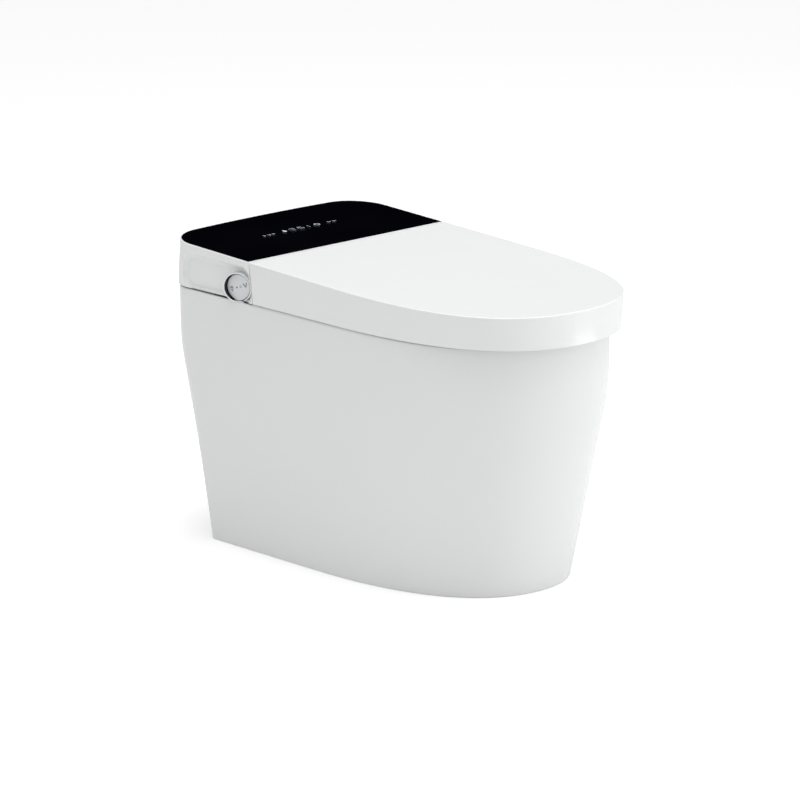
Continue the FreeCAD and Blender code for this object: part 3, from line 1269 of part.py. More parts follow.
def add_pan_units():
    tank = block("dims.tank_wide", "dims.tank_long", "dims.tank_tall",
                 world("ties.tank_x", "dims.tank_y", PAN_FLOOR))
    lid = block("dims.tank_wide - 12", "dims.tank_long - 12", "4",
                world("ties.tank_x + 6", "dims.tank_y + 6", "%s + dims.tank_tall" % PAN_FLOOR))
    keep("water_heater", joined(tank, lid))
    pump_z = "%s + dims.pump_radius" % PAN_FLOOR
    pump = rod("dims.pump_radius", "dims.pump_long", world("ties.pump_x", "dims.pump_y", pump_z),
               ALONG_Y)
    cap = rod("dims.pump_radius * 0.6", "dims.pump_long + 8",
              world("ties.pump_x", "dims.pump_y", pump_z), ALONG_Y)
    saddle = block("dims.pump_radius * 1.4", "dims.pump_long * 0.8", "dims.pump_radius * 0.5",
                   world("ties.pump_x - dims.pump_radius * 0.7",
                         "dims.pump_y + dims.pump_long * 0.1", PAN_FLOOR))
    keep("flush_pump", joined(pump, cap, saddle))
    valve = block("dims.valve_side", "dims.valve_side", "dims.valve_side",
                  world("ties.valve_x", "dims.valve_y", PAN_FLOOR))
    coil = rod("dims.valve_side * 0.35", "dims.valve_side * 0.6",
               world("ties.valve_x + dims.valve_side / 2", "dims.valve_y + dims.valve_side / 2",
                     "%s + dims.valve_side" % PAN_FLOOR))
    keep("inlet_valve", joined(valve, coil))
    keep("power_supply", block("dims.supply_wide", "dims.supply_long", "dims.supply_tall",
                               world("ties.supply_x", "dims.supply_y", PAN_FLOOR)))


def add_control_board():
    board = block("dims.board_wide", "dims.board_long", "dims.board_thick",
                  world("ties.board_x", "ties.board_y", "ties.board_z"))
    top = "ties.board_z + dims.board_thick"
    relay = block("dims.board_wide / 6", "dims.board_long / 5", "dims.relay_tall",
                  world("ties.board_x + dims.board_wide / 10",
                        "ties.board_y + dims.board_long / 6", top))
    chip = block("dims.board_long / 5", "dims.board_long / 5", "dims.board_thick",
                 world("ties.board_x + dims.board_wide * 0.47",
                       "ties.board_y + dims.board_long * 0.4", top))
    sockets = block("dims.board_wide / 2", "dims.board_long / 10", "dims.relay_tall * 0.6",
                    world("ties.board_x + dims.board_wide * 0.38",
                          "ties.board_y + dims.board_long * 0.84", top))
    keep("control_board", joined(board, relay, chip, sockets))


def add_display_board():
    board = block("dims.display_wide + 2 * dims.display_margin",
                  "dims.display_deep + 2 * dims.display_margin", "dims.board_thick",
                  world("dims.display_left - dims.display_margin",
                        "dims.display_front - dims.display_margin", "ties.display_z"))
    lights = block("dims.display_wide - dims.display_margin",
                   "dims.display_deep - dims.display_margin", "dims.display_light_thick",
                   world("dims.display_left + dims.display_margin / 2",
                         "dims.display_front + dims.display_margin / 2",
                         "ties.display_z + dims.board_thick"))
    keep("display_board", joined(board, lights))


def bent_path(points, bend):
    """Straight runs through the points, rounded at every corner."""
    edges = []
    start = points[0]
    for before, corner, after in zip(points, points[1:], points[2:]):
        back = (before - corner).normalize()
        onward = (after - corner).normalize()
        centre = corner + (back + onward) * bend
        middle = centre + (corner - centre).normalize() * bend
        arc_start = corner + back * bend
        arc_end = corner + onward * bend
        edges.append(Part.LineSegment(start, arc_start).toShape())
        edges.append(Part.Arc(arc_start, middle, arc_end).toShape())
        start = arc_end
    edges.append(Part.LineSegment(start, points[-1]).toShape())
    return Part.Wire(edges)


def add_hose(node, points):
    path = bent_path(points, size("hose_bend"))
    outer = swept(path, size("hose_radius"))
    inner = swept(path, size("hose_radius") - size("hose_wall"))
    solid_node(node, outer.cut(inner))


def add_hoses():
    run_y = size("hose_run_y")
    pan_floor = size("pan_floor_z") + size("pan_wall")
    plate_y = size("lug_front") + size("lug_long")
    inlet_x = size("inlet_x")
    inlet_z = size("inlet_z")
    start_y = plate_y - size("inlet_tail")
    add_hose("supply_hose", [V(inlet_x, start_y, inlet_z), V(inlet_x, run_y, inlet_z),
                             V(inlet_x, run_y, pan_floor)])
    pump_x = size("pump_x")
    pump_z = pan_floor + size("pump_radius")
    jet_x = size("jet_x")
    jet_z = size("jet_z")
    turn_y = size("jet_rear") + 4 * size("hose_bend")
    add_hose("flush_hose", [V(pump_x, size("pump_y"), pump_z), V(pump_x, run_y, pump_z),
                            V(pump_x, run_y, jet_z), V(pump_x, turn_y, jet_z),
                            V(jet_x, turn_y, jet_z), V(jet_x, size("jet_rear"), jet_z)])
    tank_x = size("tank_x") + size("tank_wide") / 2
    hose_z = pan_floor + size("valve_side") * 0.6
    add_hose("tank_hose", [V(size("valve_x"), run_y, hose_z), V(tank_x, run_y, hose_z),
                           V(tank_x, size("tank_y"), hose_z)])


def add_flush_jet():
    start = jet_axis() + V(0, size("jet_rear"), 0)
    outer = Part.makeCylinder(size("jet_radius"), size("jet_long"), start, V(0, -1, 0))
    bore = Part.makeCylinder(size("jet_bore"), size("jet_long") + 2, start + V(0, 1, 0),
                             V(0, -1, 0))
    solid_node("flush_jet", outer.cut(bore))


BUILDERS = [
    add_ceramic_rim, add_ceramic_skirt, add_ceramic_bowl, add_ceramic_trapway,
    add_rear_cover, add_glass_panel, add_lid_shell, add_lid_liner, add_seat_top,
    add_seat_base, add_seat_heater, add_bumpers, add_hinge_pins, add_dampers,
    add_hinge_housing, add_dryer, add_fan, add_dryer_flap, add_knob, add_knob_spring,
    add_nozzle, add_rack_and_pinion, add_nozzle_motor, add_chassis_pan, add_cover_gasket,
    add_screws, add_floor_brackets, add_outlet_seal, add_service_plate, add_inlet_nipple,
    add_cord_gland, add_pan_units, add_control_board, add_display_board, add_hoses,
    add_flush_jet,
]


def check_and_write():
    """Stop on a failed object or an empty or faulty shape, then write every sub-part."""
    for item in doc.Objects:
        if "Invalid" in item.State or "Error" in item.State:
            raise RuntimeError("%s failed: %s" % (item.Name, item.State))
    for node, item in subparts.items():
        if item.Shape.isNull() or not item.Shape.isValid():
            raise RuntimeError("%s has no valid shape" % node)
    os.makedirs("parts", exist_ok=True)
    for node, item in subparts.items():
        item.Shape.exportStep(os.path.join("parts", node + ".step"))
        print(node, len(item.Shape.Solids), round(item.Shape.Volume), item.Shape.BoundBox)


for add_subpart in BUILDERS:
    add_subpart()
doc.recompute()
check_and_write()
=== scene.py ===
"""Visual model of a skirted smart toilet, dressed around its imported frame."""

import json
import math
from collections import namedtuple

import bmesh
import bpy
from bpy.props import FloatProperty, PointerProperty
from mathutils import Matrix, Vector


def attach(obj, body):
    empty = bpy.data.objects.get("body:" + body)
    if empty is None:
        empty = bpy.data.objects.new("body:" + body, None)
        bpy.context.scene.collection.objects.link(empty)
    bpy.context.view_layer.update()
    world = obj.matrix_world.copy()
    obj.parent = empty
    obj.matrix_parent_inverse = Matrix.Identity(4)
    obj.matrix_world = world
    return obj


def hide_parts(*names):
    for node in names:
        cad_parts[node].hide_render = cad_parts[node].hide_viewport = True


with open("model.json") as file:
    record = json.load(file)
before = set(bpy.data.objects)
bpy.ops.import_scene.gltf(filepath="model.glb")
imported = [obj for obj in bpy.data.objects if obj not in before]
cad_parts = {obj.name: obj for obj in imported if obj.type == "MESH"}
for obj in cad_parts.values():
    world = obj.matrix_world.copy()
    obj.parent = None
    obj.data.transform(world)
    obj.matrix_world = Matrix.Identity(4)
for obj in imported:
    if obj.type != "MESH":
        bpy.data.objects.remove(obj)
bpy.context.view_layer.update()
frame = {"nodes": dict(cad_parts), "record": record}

bl_info = {
    "name": "Smart toilet",
    "version": (1, 0, 0),
    "blender": (4, 5, 0),
    "location": "View3D > Sidebar > Toilet",
    "description": "Models the ceramic, shells, glass and trim of a smart toilet",
    "category": "Add Mesh",
}

RIM_Z = 0.3925
JUNCTION_Y = 0.096
LID_EDGE_Z = 0.458
JUNCTION_LEAN = 0.0045
TOP_SLOPE = math.radians(2.06)
TOP_CROWN = 0.003
HINGE = Vector((0.0, 0.0846, 0.452))
KNOB = Vector((-0.194, 0.1257, 0.4136))
KNOB_TURN = math.radians(15)
ARC_HANDLE = 0.5523
FAR = 0.8

Outline = namedtuple("Outline", "half_width rear corner side_end tip fullness")
TOP = Outline(0.200, 0.290, 0.062, -0.092, -0.414, 0.685)
SEAM = Outline(0.197, 0.2925, 0.052, -0.096, -0.418, 0.652)
CERAMIC_RIM = Outline(0.1955, 0.291, 0.052, -0.096, -0.399, 0.61)
CERAMIC_BASE = Outline(0.174, 0.2155, 0.006, -0.021, -0.328, 0.642)
KINK_Z = 0.300
KINK_SOFT = 0.014


# ---- selection, modifiers and finishing ----

def only(*objects):
    """Leaves just these objects selected, the first one active."""
    if bpy.context.object and bpy.context.object.mode == "EDIT":
        bpy.ops.object.mode_set(mode="OBJECT")
    bpy.ops.object.select_all(action="DESELECT")
    for obj in objects:
        obj.select_set(True)
    bpy.context.view_layer.objects.active = objects[0]


def edit(obj):
    """Opens a mesh in edit mode with nothing selected and returns its editable copy."""
    only(obj)
    bpy.ops.object.mode_set(mode="EDIT")
    bpy.ops.mesh.select_mode(type="VERT")
    bpy.ops.mesh.select_all(action="DESELECT")
    mesh = bmesh.from_edit_mesh(obj.data)
    mesh.verts.ensure_lookup_table()
    return mesh


def close(obj):
    bmesh.update_edit_mesh(obj.data)
    bpy.ops.object.mode_set(mode="OBJECT")
    return obj


def select_vertices(obj, mesh, chosen):
    """Selects vertices in edit mode, and the edges and faces that lie between them."""
    for face in mesh.faces:
        face.select = False
    for edge in mesh.edges:
        edge.select = False
    for vertex in mesh.verts:
        vertex.select = False
    for vertex in chosen:
        vertex.select = True
    mesh.select_flush(True)
    bmesh.update_edit_mesh(obj.data)


def apply_modifier(obj, kind, **settings):
    only(obj)
    modifier = obj.modifiers.new(kind.lower(), kind)
    for setting, value in settings.items():
        setattr(modifier, setting, value)
    bpy.ops.object.modifier_apply(modifier=modifier.name)
    return obj


def boolean(obj, cutter, operation="DIFFERENCE", keep=False):
    """Cuts, joins or intersects with another closed mesh, which is used up."""
    apply_modifier(obj, "BOOLEAN", object=cutter, operation=operation, solver="EXACT")
    if not keep:
        bpy.data.objects.remove(cutter)
    return obj


def apply_place(obj):
    only(obj)
    bpy.ops.object.transform_apply(location=True, rotation=True, scale=True)
    return obj


def turn_outwards(obj):
    edit(obj)
    bpy.ops.mesh.select_all(action="SELECT")
    bpy.ops.mesh.normals_make_consistent(inside=False)
    return close(obj)


def finish_piece(obj, name, body, slot, nodes=(), smooth_angle=32.0, paint=None):
    """Names, smooths, paints and mounts a finished piece."""
    obj.name = name
    obj.data.name = name
    only(obj)
    bpy.ops.object.shade_smooth_by_angle(angle=math.radians(smooth_angle))
    apply_modifier(obj, "WEIGHTED_NORMAL", keep_sharp=True, weight=50)
    obj.data.materials.clear()
    obj.data.materials.append(material_of(paint or slot))
    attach(obj, body)
    if nodes:
        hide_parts(*nodes)
    return obj


# ---- outlines and lofts ----

def inset_outline(shape, inset):
    """The outline inside a wall; its corner tightens but never closes."""
    return Outline(shape.half_width - inset, shape.rear - inset,
                   shape.corner * shape.corner / (shape.corner + inset),
                   shape.side_end, shape.tip + inset, shape.fullness)


def straight(start, end):
    """Handles of a straight run."""
    third = (end - start) / 3
    return start + third, end - third


def outline_knots(shape, front=None):
    """Knots of the closed outline, as (place, handle before, handle after).

    With a front the outline has no nose and closes straight across at that place.
    """
    wide = shape.half_width
    rear = shape.rear
    corner = shape.corner
    pull = corner * (1 - ARC_HANDLE)
    side_end = shape.side_end if front is None else front
    rear_left = Vector((corner - wide, rear, 0))
    rear_right = Vector((wide - corner, rear, 0))
    right_rear = Vector((wide, rear - corner, 0))
    right_front = Vector((wide, side_end, 0))
    left_front = Vector((-wide, side_end, 0))
    left_rear = Vector((-wide, rear - corner, 0))
    rear_run = straight(rear_left, rear_right)
    right_run = straight(right_rear, right_front)
    left_run = straight(left_front, left_rear)
    knots = [
        (rear_left, Vector((pull - wide, rear, 0)), rear_run[0]),
        (rear_right, rear_run[1], Vector((wide - pull, rear, 0))),
        (right_rear, Vector((wide, rear - pull, 0)), right_run[0]),
    ]
    if front is None:
        nose = side_end - shape.tip
        tip = Vector((0, shape.tip, 0))
        reach = Vector((0, shape.fullness * nose, 0))
        spread = Vector((shape.fullness * wide, 0, 0))
        knots += [(right_front, right_run[1], right_front - reach),
                  (tip, tip + spread, tip - spread),
                  (left_front, left_front - reach, left_run[0])]
    else:
        front_run = straight(right_front, left_front)
        knots += [(right_front, right_run[1], front_run[0]),
                  (left_front, front_run[1], left_run[0])]
    knots.append((left_rear, left_run[1], Vector((-wide, rear - pull, 0))))
    return knots


def ellipse_knots(centre_y, half_width, half_length):
    """Knots of an ellipse that lies on the middle plane."""
    centre = Vector((0, centre_y, 0))
    wide = Vector((half_width, 0, 0))
    long = Vector((0, half_length, 0))
    corners = [(wide, -long), (-long, -wide), (-wide, long), (long, wide)]
    return [(centre + out, centre + out - along * ARC_HANDLE, centre + out + along * ARC_HANDLE)
            for out, along in corners]


def flat_at(level):
    return lambda place: Vector((place.x, place.y, level))


def crown_lift(across):
    return TOP_CROWN * (1 - (across / TOP.half_width) ** 2)


def on_top(drop):
    """Lays a point on the sloping, crowned top, lowered by a drop."""
    def lay(place):
        along = place.y - JUNCTION_Y
        rise = crown_lift(place.x) - drop
        return Vector((place.x,
                       JUNCTION_Y + along * math.cos(TOP_SLOPE) - rise * math.sin(TOP_SLOPE),
                       LID_EDGE_Z + along * math.sin(TOP_SLOPE) + rise * math.cos(TOP_SLOPE)))
    return lay


def start_curve(make, dimensions):
    """An empty curve object, to which runs are added."""
    bpy.ops.object.select_all(action="DESELECT")
    make(radius=0.1)
    drawing = bpy.context.object
    drawing.data.dimensions = dimensions
    drawing.data.splines.clear()
    return drawing


def add_run(drawing, knots, resolution, closed=True):
    """Adds a Bezier run through knots given as (place, handle before, handle after)."""
    spline = drawing.data.splines.new("BEZIER")
    spline.use_cyclic_u = closed
    spline.resolution_u = resolution
    spline.bezier_points.add(len(knots) - 1)
    for point, (place, before, after) in zip(spline.bezier_points, knots):
        point.handle_left_type = "FREE"
        point.handle_right_type = "FREE"
        point.co = place
        point.handle_left = before
        point.handle_right = after


def draw_rings(rings, resolution=24):
    """Draws closed Bezier rings, one above the other, and makes them mesh loops.

    A ring is (knots, lay), where lay puts a flat point at its place in space.
    """
    drawing = start_curve(bpy.ops.curve.primitive_bezier_circle_add, "3D")
    for knots, _ in rings:
        add_run(drawing, knots, resolution)
    bpy.ops.object.convert(target="MESH")
    drawing = bpy.context.object
    count = len(drawing.data.vertices) // len(rings)
    for index, vertex in enumerate(drawing.data.vertices):
        vertex.co = rings[index // count][1](vertex.co)
    return drawing, count


def loft(rings, resolution=24, cuts=()):
    """A closed body bridged through rings, lowest first; cuts names steps to divide."""
    body, count = draw_rings(rings, resolution)
    cuts = dict(cuts)
    for step in range(len(rings) - 1):
        mesh = edit(body)
        select_vertices(body, mesh, mesh.verts[step * count:(step + 2) * count])
        bpy.ops.mesh.bridge_edge_loops(number_cuts=cuts.get(step, 0))
        close(body)
    for first in (0, (len(rings) - 1) * count):
        mesh = edit(body)
        select_vertices(body, mesh, mesh.verts[first:first + count])
        bpy.ops.mesh.edge_face_add()
        close(body)
    return turn_outwards(body)


def cut_plane(obj, place, normal, fill=True):
    """Removes what lies on the side that the normal points to, and closes the cut."""
    edit(obj)
    bpy.ops.mesh.select_all(action="SELECT")
    bpy.ops.mesh.bisect(plane_co=place, plane_no=normal, use_fill=fill, clear_outer=True)
    return close(obj)


def score_planes(obj, places, normal):
    """Adds edge lines where planes cross the mesh."""
    for place in places:
        edit(obj)
        bpy.ops.mesh.select_all(action="SELECT")
        bpy.ops.mesh.bisect(plane_co=place, plane_no=normal)
        close(obj)
    return obj


def score_across(obj, step=0.02):
    """Lines from front to rear that let a crowned top keep its curve."""
    count = int(TOP.half_width / step)
    return score_planes(obj, [(index * step, 0, 0) for index in range(-count, count + 1)],
                        (1, 0, 0))


def bevel_edges(obj, chosen, width, segments=4):
    """Rounds the edges for which chosen(edge) is true."""
    mesh = edit(obj)
    bpy.ops.mesh.select_mode(type="EDGE")
    for edge in mesh.edges:
        edge.select = chosen(edge)
    bmesh.update_edit_mesh(obj.data)
    bpy.ops.mesh.bevel(offset=width, segments=segments, profile=0.5, affect="EDGES",
                       clamp_overlap=True)
    bpy.ops.mesh.select_mode(type="VERT")
    return close(obj)


def sharp(angle):
    """Picks edges that fold by more than an angle in degrees."""
    def chosen(edge):
        return len(edge.link_faces) == 2 and edge.calc_face_angle(0.0) > math.radians(angle)
    return chosen


def box(low, high):
    """A closed box between two corners, used as a cutter or a start."""
    low = Vector(low)
    high = Vector(high)
    bpy.ops.object.select_all(action="DESELECT")
    bpy.ops.mesh.primitive_cube_add(size=1, location=(low + high) / 2)
    block = bpy.context.object
    block.scale = high - low
    return apply_place(block)


def cylinder(radius, start, end, vertices=64):
    """A closed cylinder between two points."""
    start = Vector(start)
    end = Vector(end)
    axis = end - start
    bpy.ops.object.select_all(action="DESELECT")
    bpy.ops.mesh.primitive_cylinder_add(vertices=vertices, radius=radius, depth=axis.length,
                                        location=(start + end) / 2)
    rod = bpy.context.object
    rod.rotation_mode = "QUATERNION"
    rod.rotation_quaternion = Vector((0, 0, 1)).rotation_difference(axis)
    return apply_place(rod)


def pipe(places, radius, resolution=16):
    """A closed pipe along knots given as (place, handle before, handle after)."""
    path = start_curve(bpy.ops.curve.primitive_bezier_curve_add, "3D")
    add_run(path, places, resolution, closed=False)
    path.data.bevel_depth = radius
    path.data.bevel_resolution = 10
    path.data.use_fill_caps = True
    bpy.ops.object.convert(target="MESH")
    return turn_outwards(bpy.context.object)


def mirrored(make):
    """Calls make for the left and the right side and joins what it gives."""
    left = make(-1)
    right = make(1)
    only(left, right)
    bpy.ops.object.join()
    return left


def lathe(profile, place, axis, steps=96):
    """Spins a closed profile of (radius, height) corners round an axis through a place."""
    bpy.ops.object.select_all(action="DESELECT")
    bpy.ops.mesh.primitive_circle_add(vertices=len(profile), radius=0.01)
    turned = bpy.context.object
    mesh = edit(turned)
    for vertex, (radius, height) in zip(mesh.verts, profile):
        vertex.co = (radius, 0, height)
    bmesh.update_edit_mesh(turned.data)
    bpy.ops.mesh.select_all(action="SELECT")
    bpy.ops.mesh.spin(steps=steps, angle=2 * math.pi, center=(0, 0, 0), axis=(0, 0, 1))
    bpy.ops.mesh.select_all(action="SELECT")
    bpy.ops.mesh.remove_doubles(threshold=0.00001)
    close(turned)
    turned.rotation_mode = "QUATERNION"
    turned.rotation_quaternion = Vector((0, 0, 1)).rotation_difference(Vector(axis))
    turned.location = place
    apply_place(turned)
    return turn_outwards(turned)


def quarter_round(radius, steps=4):
    """(set in, drop) pairs of a rounded edge, from the wall up to the top."""
    angles = [math.pi / 2 * step / steps for step in range(steps + 1)]
    return [(radius * (1 - math.cos(angle)), radius * (1 - math.sin(angle)))
            for angle in angles]


# ---- hinge eyes ----

LUG_RADIUS = 0.0045
PIN_BORE = 0.00255
BORE_OVERRUN = 0.001


def add_hinge_eye(obj, left, right, web):
    """Joins a web and the round eye at its end to a shell, and bores it for the pin."""
    boolean(obj, web, "UNION")
    boolean(obj, cylinder(LUG_RADIUS, (left, HINGE.y, HINGE.z), (right, HINGE.y, HINGE.z), 48),
            "UNION")
    boolean(obj, cylinder(PIN_BORE, (left - BORE_OVERRUN, HINGE.y, HINGE.z),
                          (right + BORE_OVERRUN, HINGE.y, HINGE.z), 48))


# ---- rings of the shells ----

def mix(low, high, share):
    return Outline(*(start + (end - start) * share for start, end in zip(low, high)))


def shell_share(level):
    return (level - RIM_Z) / (LID_EDGE_Z - RIM_Z)


def shell_ring(level, inset=0.0, front=None):
    """A ring of the shells' outer wall; its share is 0 at the rim and 1 at the top edge."""
    share = shell_share(level)
    seam = flat_at(RIM_Z)
    top = on_top(0.0)
    return (outline_knots(inset_outline(mix(SEAM, TOP, share), inset), front),
            lambda place: seam(place).lerp(top(place), share))


def top_ring(inset, drop, front=None):
    return outline_knots(inset_outline(TOP, inset), front), on_top(drop)


def shell_solid(low, edge, foot, front=None, resolution=24, cuts=0):
    """The outer body of a shell from a level up, with a rounded foot and top edge."""
    rings = [shell_ring(low + drop, inset, front) for inset, drop in
             ((foot, 0.0), (foot * 0.3, foot * 0.3), (0.0, foot))]
    wall = len(rings) - 1
    rings += [top_ring(inset, drop, front) for inset, drop in quarter_round(edge)]
    return loft(rings, resolution, {wall: cuts})


def shell_room(wall, top_wall, low):
    """The room inside a shell's walls."""
    return loft([shell_ring(low, wall), top_ring(wall, top_wall)])


def lean_normal(forward):
    lean = math.atan2(JUNCTION_LEAN, LID_EDGE_Z - RIM_Z)
    return Vector((0, -math.cos(lean), math.sin(lean))) * (1 if forward else -1)


def cut_at_junction(obj, forward, shift=0.0):
    """Removes what lies in front of, or behind, the leaning parting plane."""
    return cut_plane(obj, (0, JUNCTION_Y + shift, LID_EDGE_Z), lean_normal(forward))


def behind_hinge(radius):
    """The corner above and behind the hinge that a swinging lid leaves free."""
    corner = box((-FAR, HINGE.y, HINGE.z), (FAR, HINGE.y + FAR, HINGE.z + FAR))
    return boolean(corner, cylinder(radius, (-FAR - 0.1, HINGE.y, HINGE.z),
                                    (FAR + 0.1, HINGE.y, HINGE.z), 96))


# ---- materials ----

def linear(code):
    """A colour as a screen shows it, #rrggbb, in the linear values that shaders take."""
    shares = [int(code[place:place + 2], 16) / 255 for place in (1, 3, 5)]
    return tuple(share / 12.92 if share <= 0.04045 else ((share + 0.055) / 1.055) ** 2.4
                 for share in shares) + (1.0,)


def add_node(tree, kind, inputs=(), **settings):
    """Adds a node, sets it up and feeds its sockets with values or with other sockets."""
    node = tree.nodes.new(kind)
    for setting, value in settings.items():
        setattr(node, setting, value)
    for socket, value in dict(inputs).items():
        if isinstance(value, bpy.types.NodeSocket):
            tree.links.new(value, node.inputs[socket])
        else:
            node.inputs[socket].default_value = value
    return node


def finish(name, code, roughness, ior=1.5, **sockets):
    """A named material with one principled shader."""
    material = bpy.data.materials.new(name)
    material.use_nodes = True
    shader = material.node_tree.nodes["Principled BSDF"]
    shader.inputs["Base Color"].default_value = linear(code)
    shader.inputs["Roughness"].default_value = roughness
    if ior:
        shader.inputs["IOR"].default_value = ior
    for socket, value in sockets.items():
        shader.inputs[socket.replace("_", " ")].default_value = value
    return material, material.node_tree, shader


def grain(tree, shader, size, height, detail=2.0):
    """Fine relief of a real size in metres, from noise in the piece's own space."""
    place = add_node(tree, "ShaderNodeTexCoord")
    noise = add_node(tree, "ShaderNodeTexNoise",
                     {"Vector": place.outputs["Object"], "Scale": 1 / size, "Detail": detail})
    relief = add_node(tree, "ShaderNodeBump",
                      {"Height": noise.outputs["Fac"], "Strength": 1.0, "Distance": height})
    tree.links.new(relief.outputs["Normal"], shader.inputs["Normal"])
    return noise


def uneven_gloss(tree, shader, noise, low, high):
    """Lets the gloss wander between two values with the relief."""
    spread = add_node(tree, "ShaderNodeMapRange",
                      {"Value": noise.outputs["Fac"], "To Min": low, "To Max": high})
    tree.links.new(spread.outputs["Result"], shader.inputs["Roughness"])


def glazed_ceramic():
    # Fired glaze: cool white, a clear gloss that ripples very slightly over hand-wide waves.
    material, tree, shader = finish("fired white glaze", "#ECEDED", 0.14, 1.52)
    uneven_gloss(tree, shader, grain(tree, shader, 0.045, 0.00012), 0.11, 0.17)
    return material


def shell_plastic():
    # Moulded white plastic with a high gloss and a trace of flow in its skin.
    material, tree, shader = finish("glossy white moulding", "#F1F2F2", 0.2, 1.49)
    uneven_gloss(tree, shader, grain(tree, shader, 0.06, 0.00008), 0.17, 0.23)
    return material


def seat_plastic():
    # The seat's moulding is a little warmer and less glossy than the lid's.
    material, tree, shader = finish("satin white moulding", "#EFEFED", 0.3, 1.49)
    uneven_gloss(tree, shader, grain(tree, shader, 0.04, 0.00008), 0.27, 0.34)
    return material


def panel_glass():
    # Glass printed black on its back: reads as deep black with a polished face.
    material, tree, shader = finish("back-printed black glass", "#040407", 0.06, 1.5)
    haze = add_node(tree, "ShaderNodeTexCoord")
    cloud = add_node(tree, "ShaderNodeTexNoise",
                     {"Vector": haze.outputs["Object"], "Scale": 9.0, "Detail": 3.0})
    tint = add_node(tree, "ShaderNodeValToRGB", {"Fac": cloud.outputs["Fac"]})
    tint.color_ramp.elements[0].color = linear("#030305")
    tint.color_ramp.elements[1].color = linear("#07070D")
    tree.links.new(tint.outputs["Color"], shader.inputs["Base Color"])
    return material


def moulded(name, code, roughness):
    # Matt mouldings inside: an even spark-eroded grain under a quarter of a millimetre.
    material, tree, shader = finish(name, code, roughness, 1.49)
    grain(tree, shader, 0.0004, 0.00003)
    return material


def drawn_metal(name, code, roughness, stretch):
    # Rolled or drawn metal: fine lines along one way that smear the highlight.
    material, tree, shader = finish(name, code, roughness, None, Metallic=1.0)
    place = add_node(tree, "ShaderNodeTexCoord")
    lines = add_node(tree, "ShaderNodeMapping",
                     {"Vector": place.outputs["Object"], "Scale": stretch})
    noise = add_node(tree, "ShaderNodeTexNoise",
                     {"Vector": lines.outputs["Vector"], "Scale": 900.0, "Detail": 2.0})
    uneven_gloss(tree, shader, noise, roughness * 0.7, roughness * 1.4)
    return material


def chrome():
    # Plated trim: a mirror with the faint haze of plating over plastic.
    material, tree, shader = finish("chrome plating", "#EEF0F2", 0.08, None, Metallic=1.0)
    uneven_gloss(tree, shader, grain(tree, shader, 0.02, 0.00001), 0.06, 0.12)
    return material


def smoked_chrome():
    # Painted shade for the inside of the knob's cup: chrome darkened nearly to black, with soft
    # streaks, standing in for the shade and dark reflections there.
    material, tree, shader = finish("smoked chrome", "#3C4247", 0.22, None, Metallic=1.0)
    uneven_gloss(tree, shader, grain(tree, shader, 0.006, 0.00002), 0.16, 0.3)
    return material


def knob_silver():
    # Vapour-blasted silver on the knob: bright, soft and nearly without direction.
    material, tree, shader = finish("satin silver", "#E4E7E9", 0.42, None, Metallic=0.35)
    grain(tree, shader, 0.0005, 0.00001)
    return material


def rubber(name, code):
    # Rubber: dark, soft sheen, with the dusty skin of a moulded seal.
    material, tree, shader = finish(name, code, 0.65, 1.52)
    grain(tree, shader, 0.0012, 0.00006)
    return material


def board_mask():
    # Solder mask over copper: green, with the tracks showing as slightly lighter lines.
    material, tree, shader = finish("green solder mask", "#17603A", 0.35, 1.55)
    place = add_node(tree, "ShaderNodeTexCoord")
    tracks = add_node(tree, "ShaderNodeTexBrick",
                      {"Vector": place.outputs["Object"], "Scale": 120.0,
                       "Color1": linear("#17603A"), "Color2": linear("#1C6A41"),
                       "Mortar": linear("#2F7F52"), "Mortar Size": 0.03})
    tree.links.new(tracks.outputs["Color"], shader.inputs["Base Color"])
    return material


def silicone():
    # Clear silicone hose: milky, with light passing into its wall.
    material, tree, shader = finish("clear silicone", "#C9CFD0", 0.35, 1.41)
    shader.inputs["Transmission Weight"].default_value = 0.35
    grain(tree, shader, 0.002, 0.00003)
    return material


def display_light():
    # Marks lit from under the glass: pale, cool and soft.
    material, tree, shader = finish("lit display mark", "#C9D2DC", 0.4, 1.5)
    shader.inputs["Emission Color"].default_value = linear("#C9D6E4")
    shader.inputs["Emission Strength"].default_value = 0.16
    grain(tree, shader, 0.0004, 0.00001)
    return material


def printed_grey():
    # Grey ink printed on the knob's face.
    material, tree, shader = finish("grey pad print", "#6E7377", 0.5, 1.5)
    grain(tree, shader, 0.0003, 0.00001)
    return material


MAKERS = {
    "vitreous_china": glazed_ceramic,
    "white_shell": shell_plastic,
    "black_glass": panel_glass,
    "seat_white": seat_plastic,
    "grey_plastic": lambda: moulded("grey moulding", "#C4C6C8", 0.5),
    "dark_plastic": lambda: moulded("dark moulding", "#2B2C2E", 0.5),
    "white_plastic": lambda: moulded("matt white moulding", "#ECECEA", 0.45),
    "chrome_trim": chrome,
    "satin_silver": knob_silver,
    # Chrome darkened as painted shade, for the inside of the knob's cup.
    "smoked_chrome": smoked_chrome,
    "steel": lambda: drawn_metal("drawn stainless steel", "#C6C6C4", 0.25, (1, 1, 0.05)),
    "zinc_steel": lambda: drawn_metal("zinc-plated steel", "#C9CBC8", 0.38, (1, 0.2, 1)),
    "black_rubber": lambda: rubber("black seal rubber", "#202020"),
    "grey_rubber": lambda: rubber("grey buffer rubber", "#8D8F90"),
    "brass_fitting": lambda: drawn_metal("turned brass", "#D9B45E", 0.28, (1, 0.05, 1)),
    "circuit_green": board_mask,
    "heater_film": lambda: drawn_metal("etched foil", "#C5BDAF", 0.35, (0.1, 1, 1)),
    "motor_case": lambda: drawn_metal("drawn motor can", "#B3B4B6", 0.32, (1, 1, 0.1)),
    "pump_case": lambda: moulded("glass-filled nylon", "#3E4043", 0.55),
    "clear_hose": silicone,
    "display_light": display_light,
    "printed_grey": printed_grey,
}


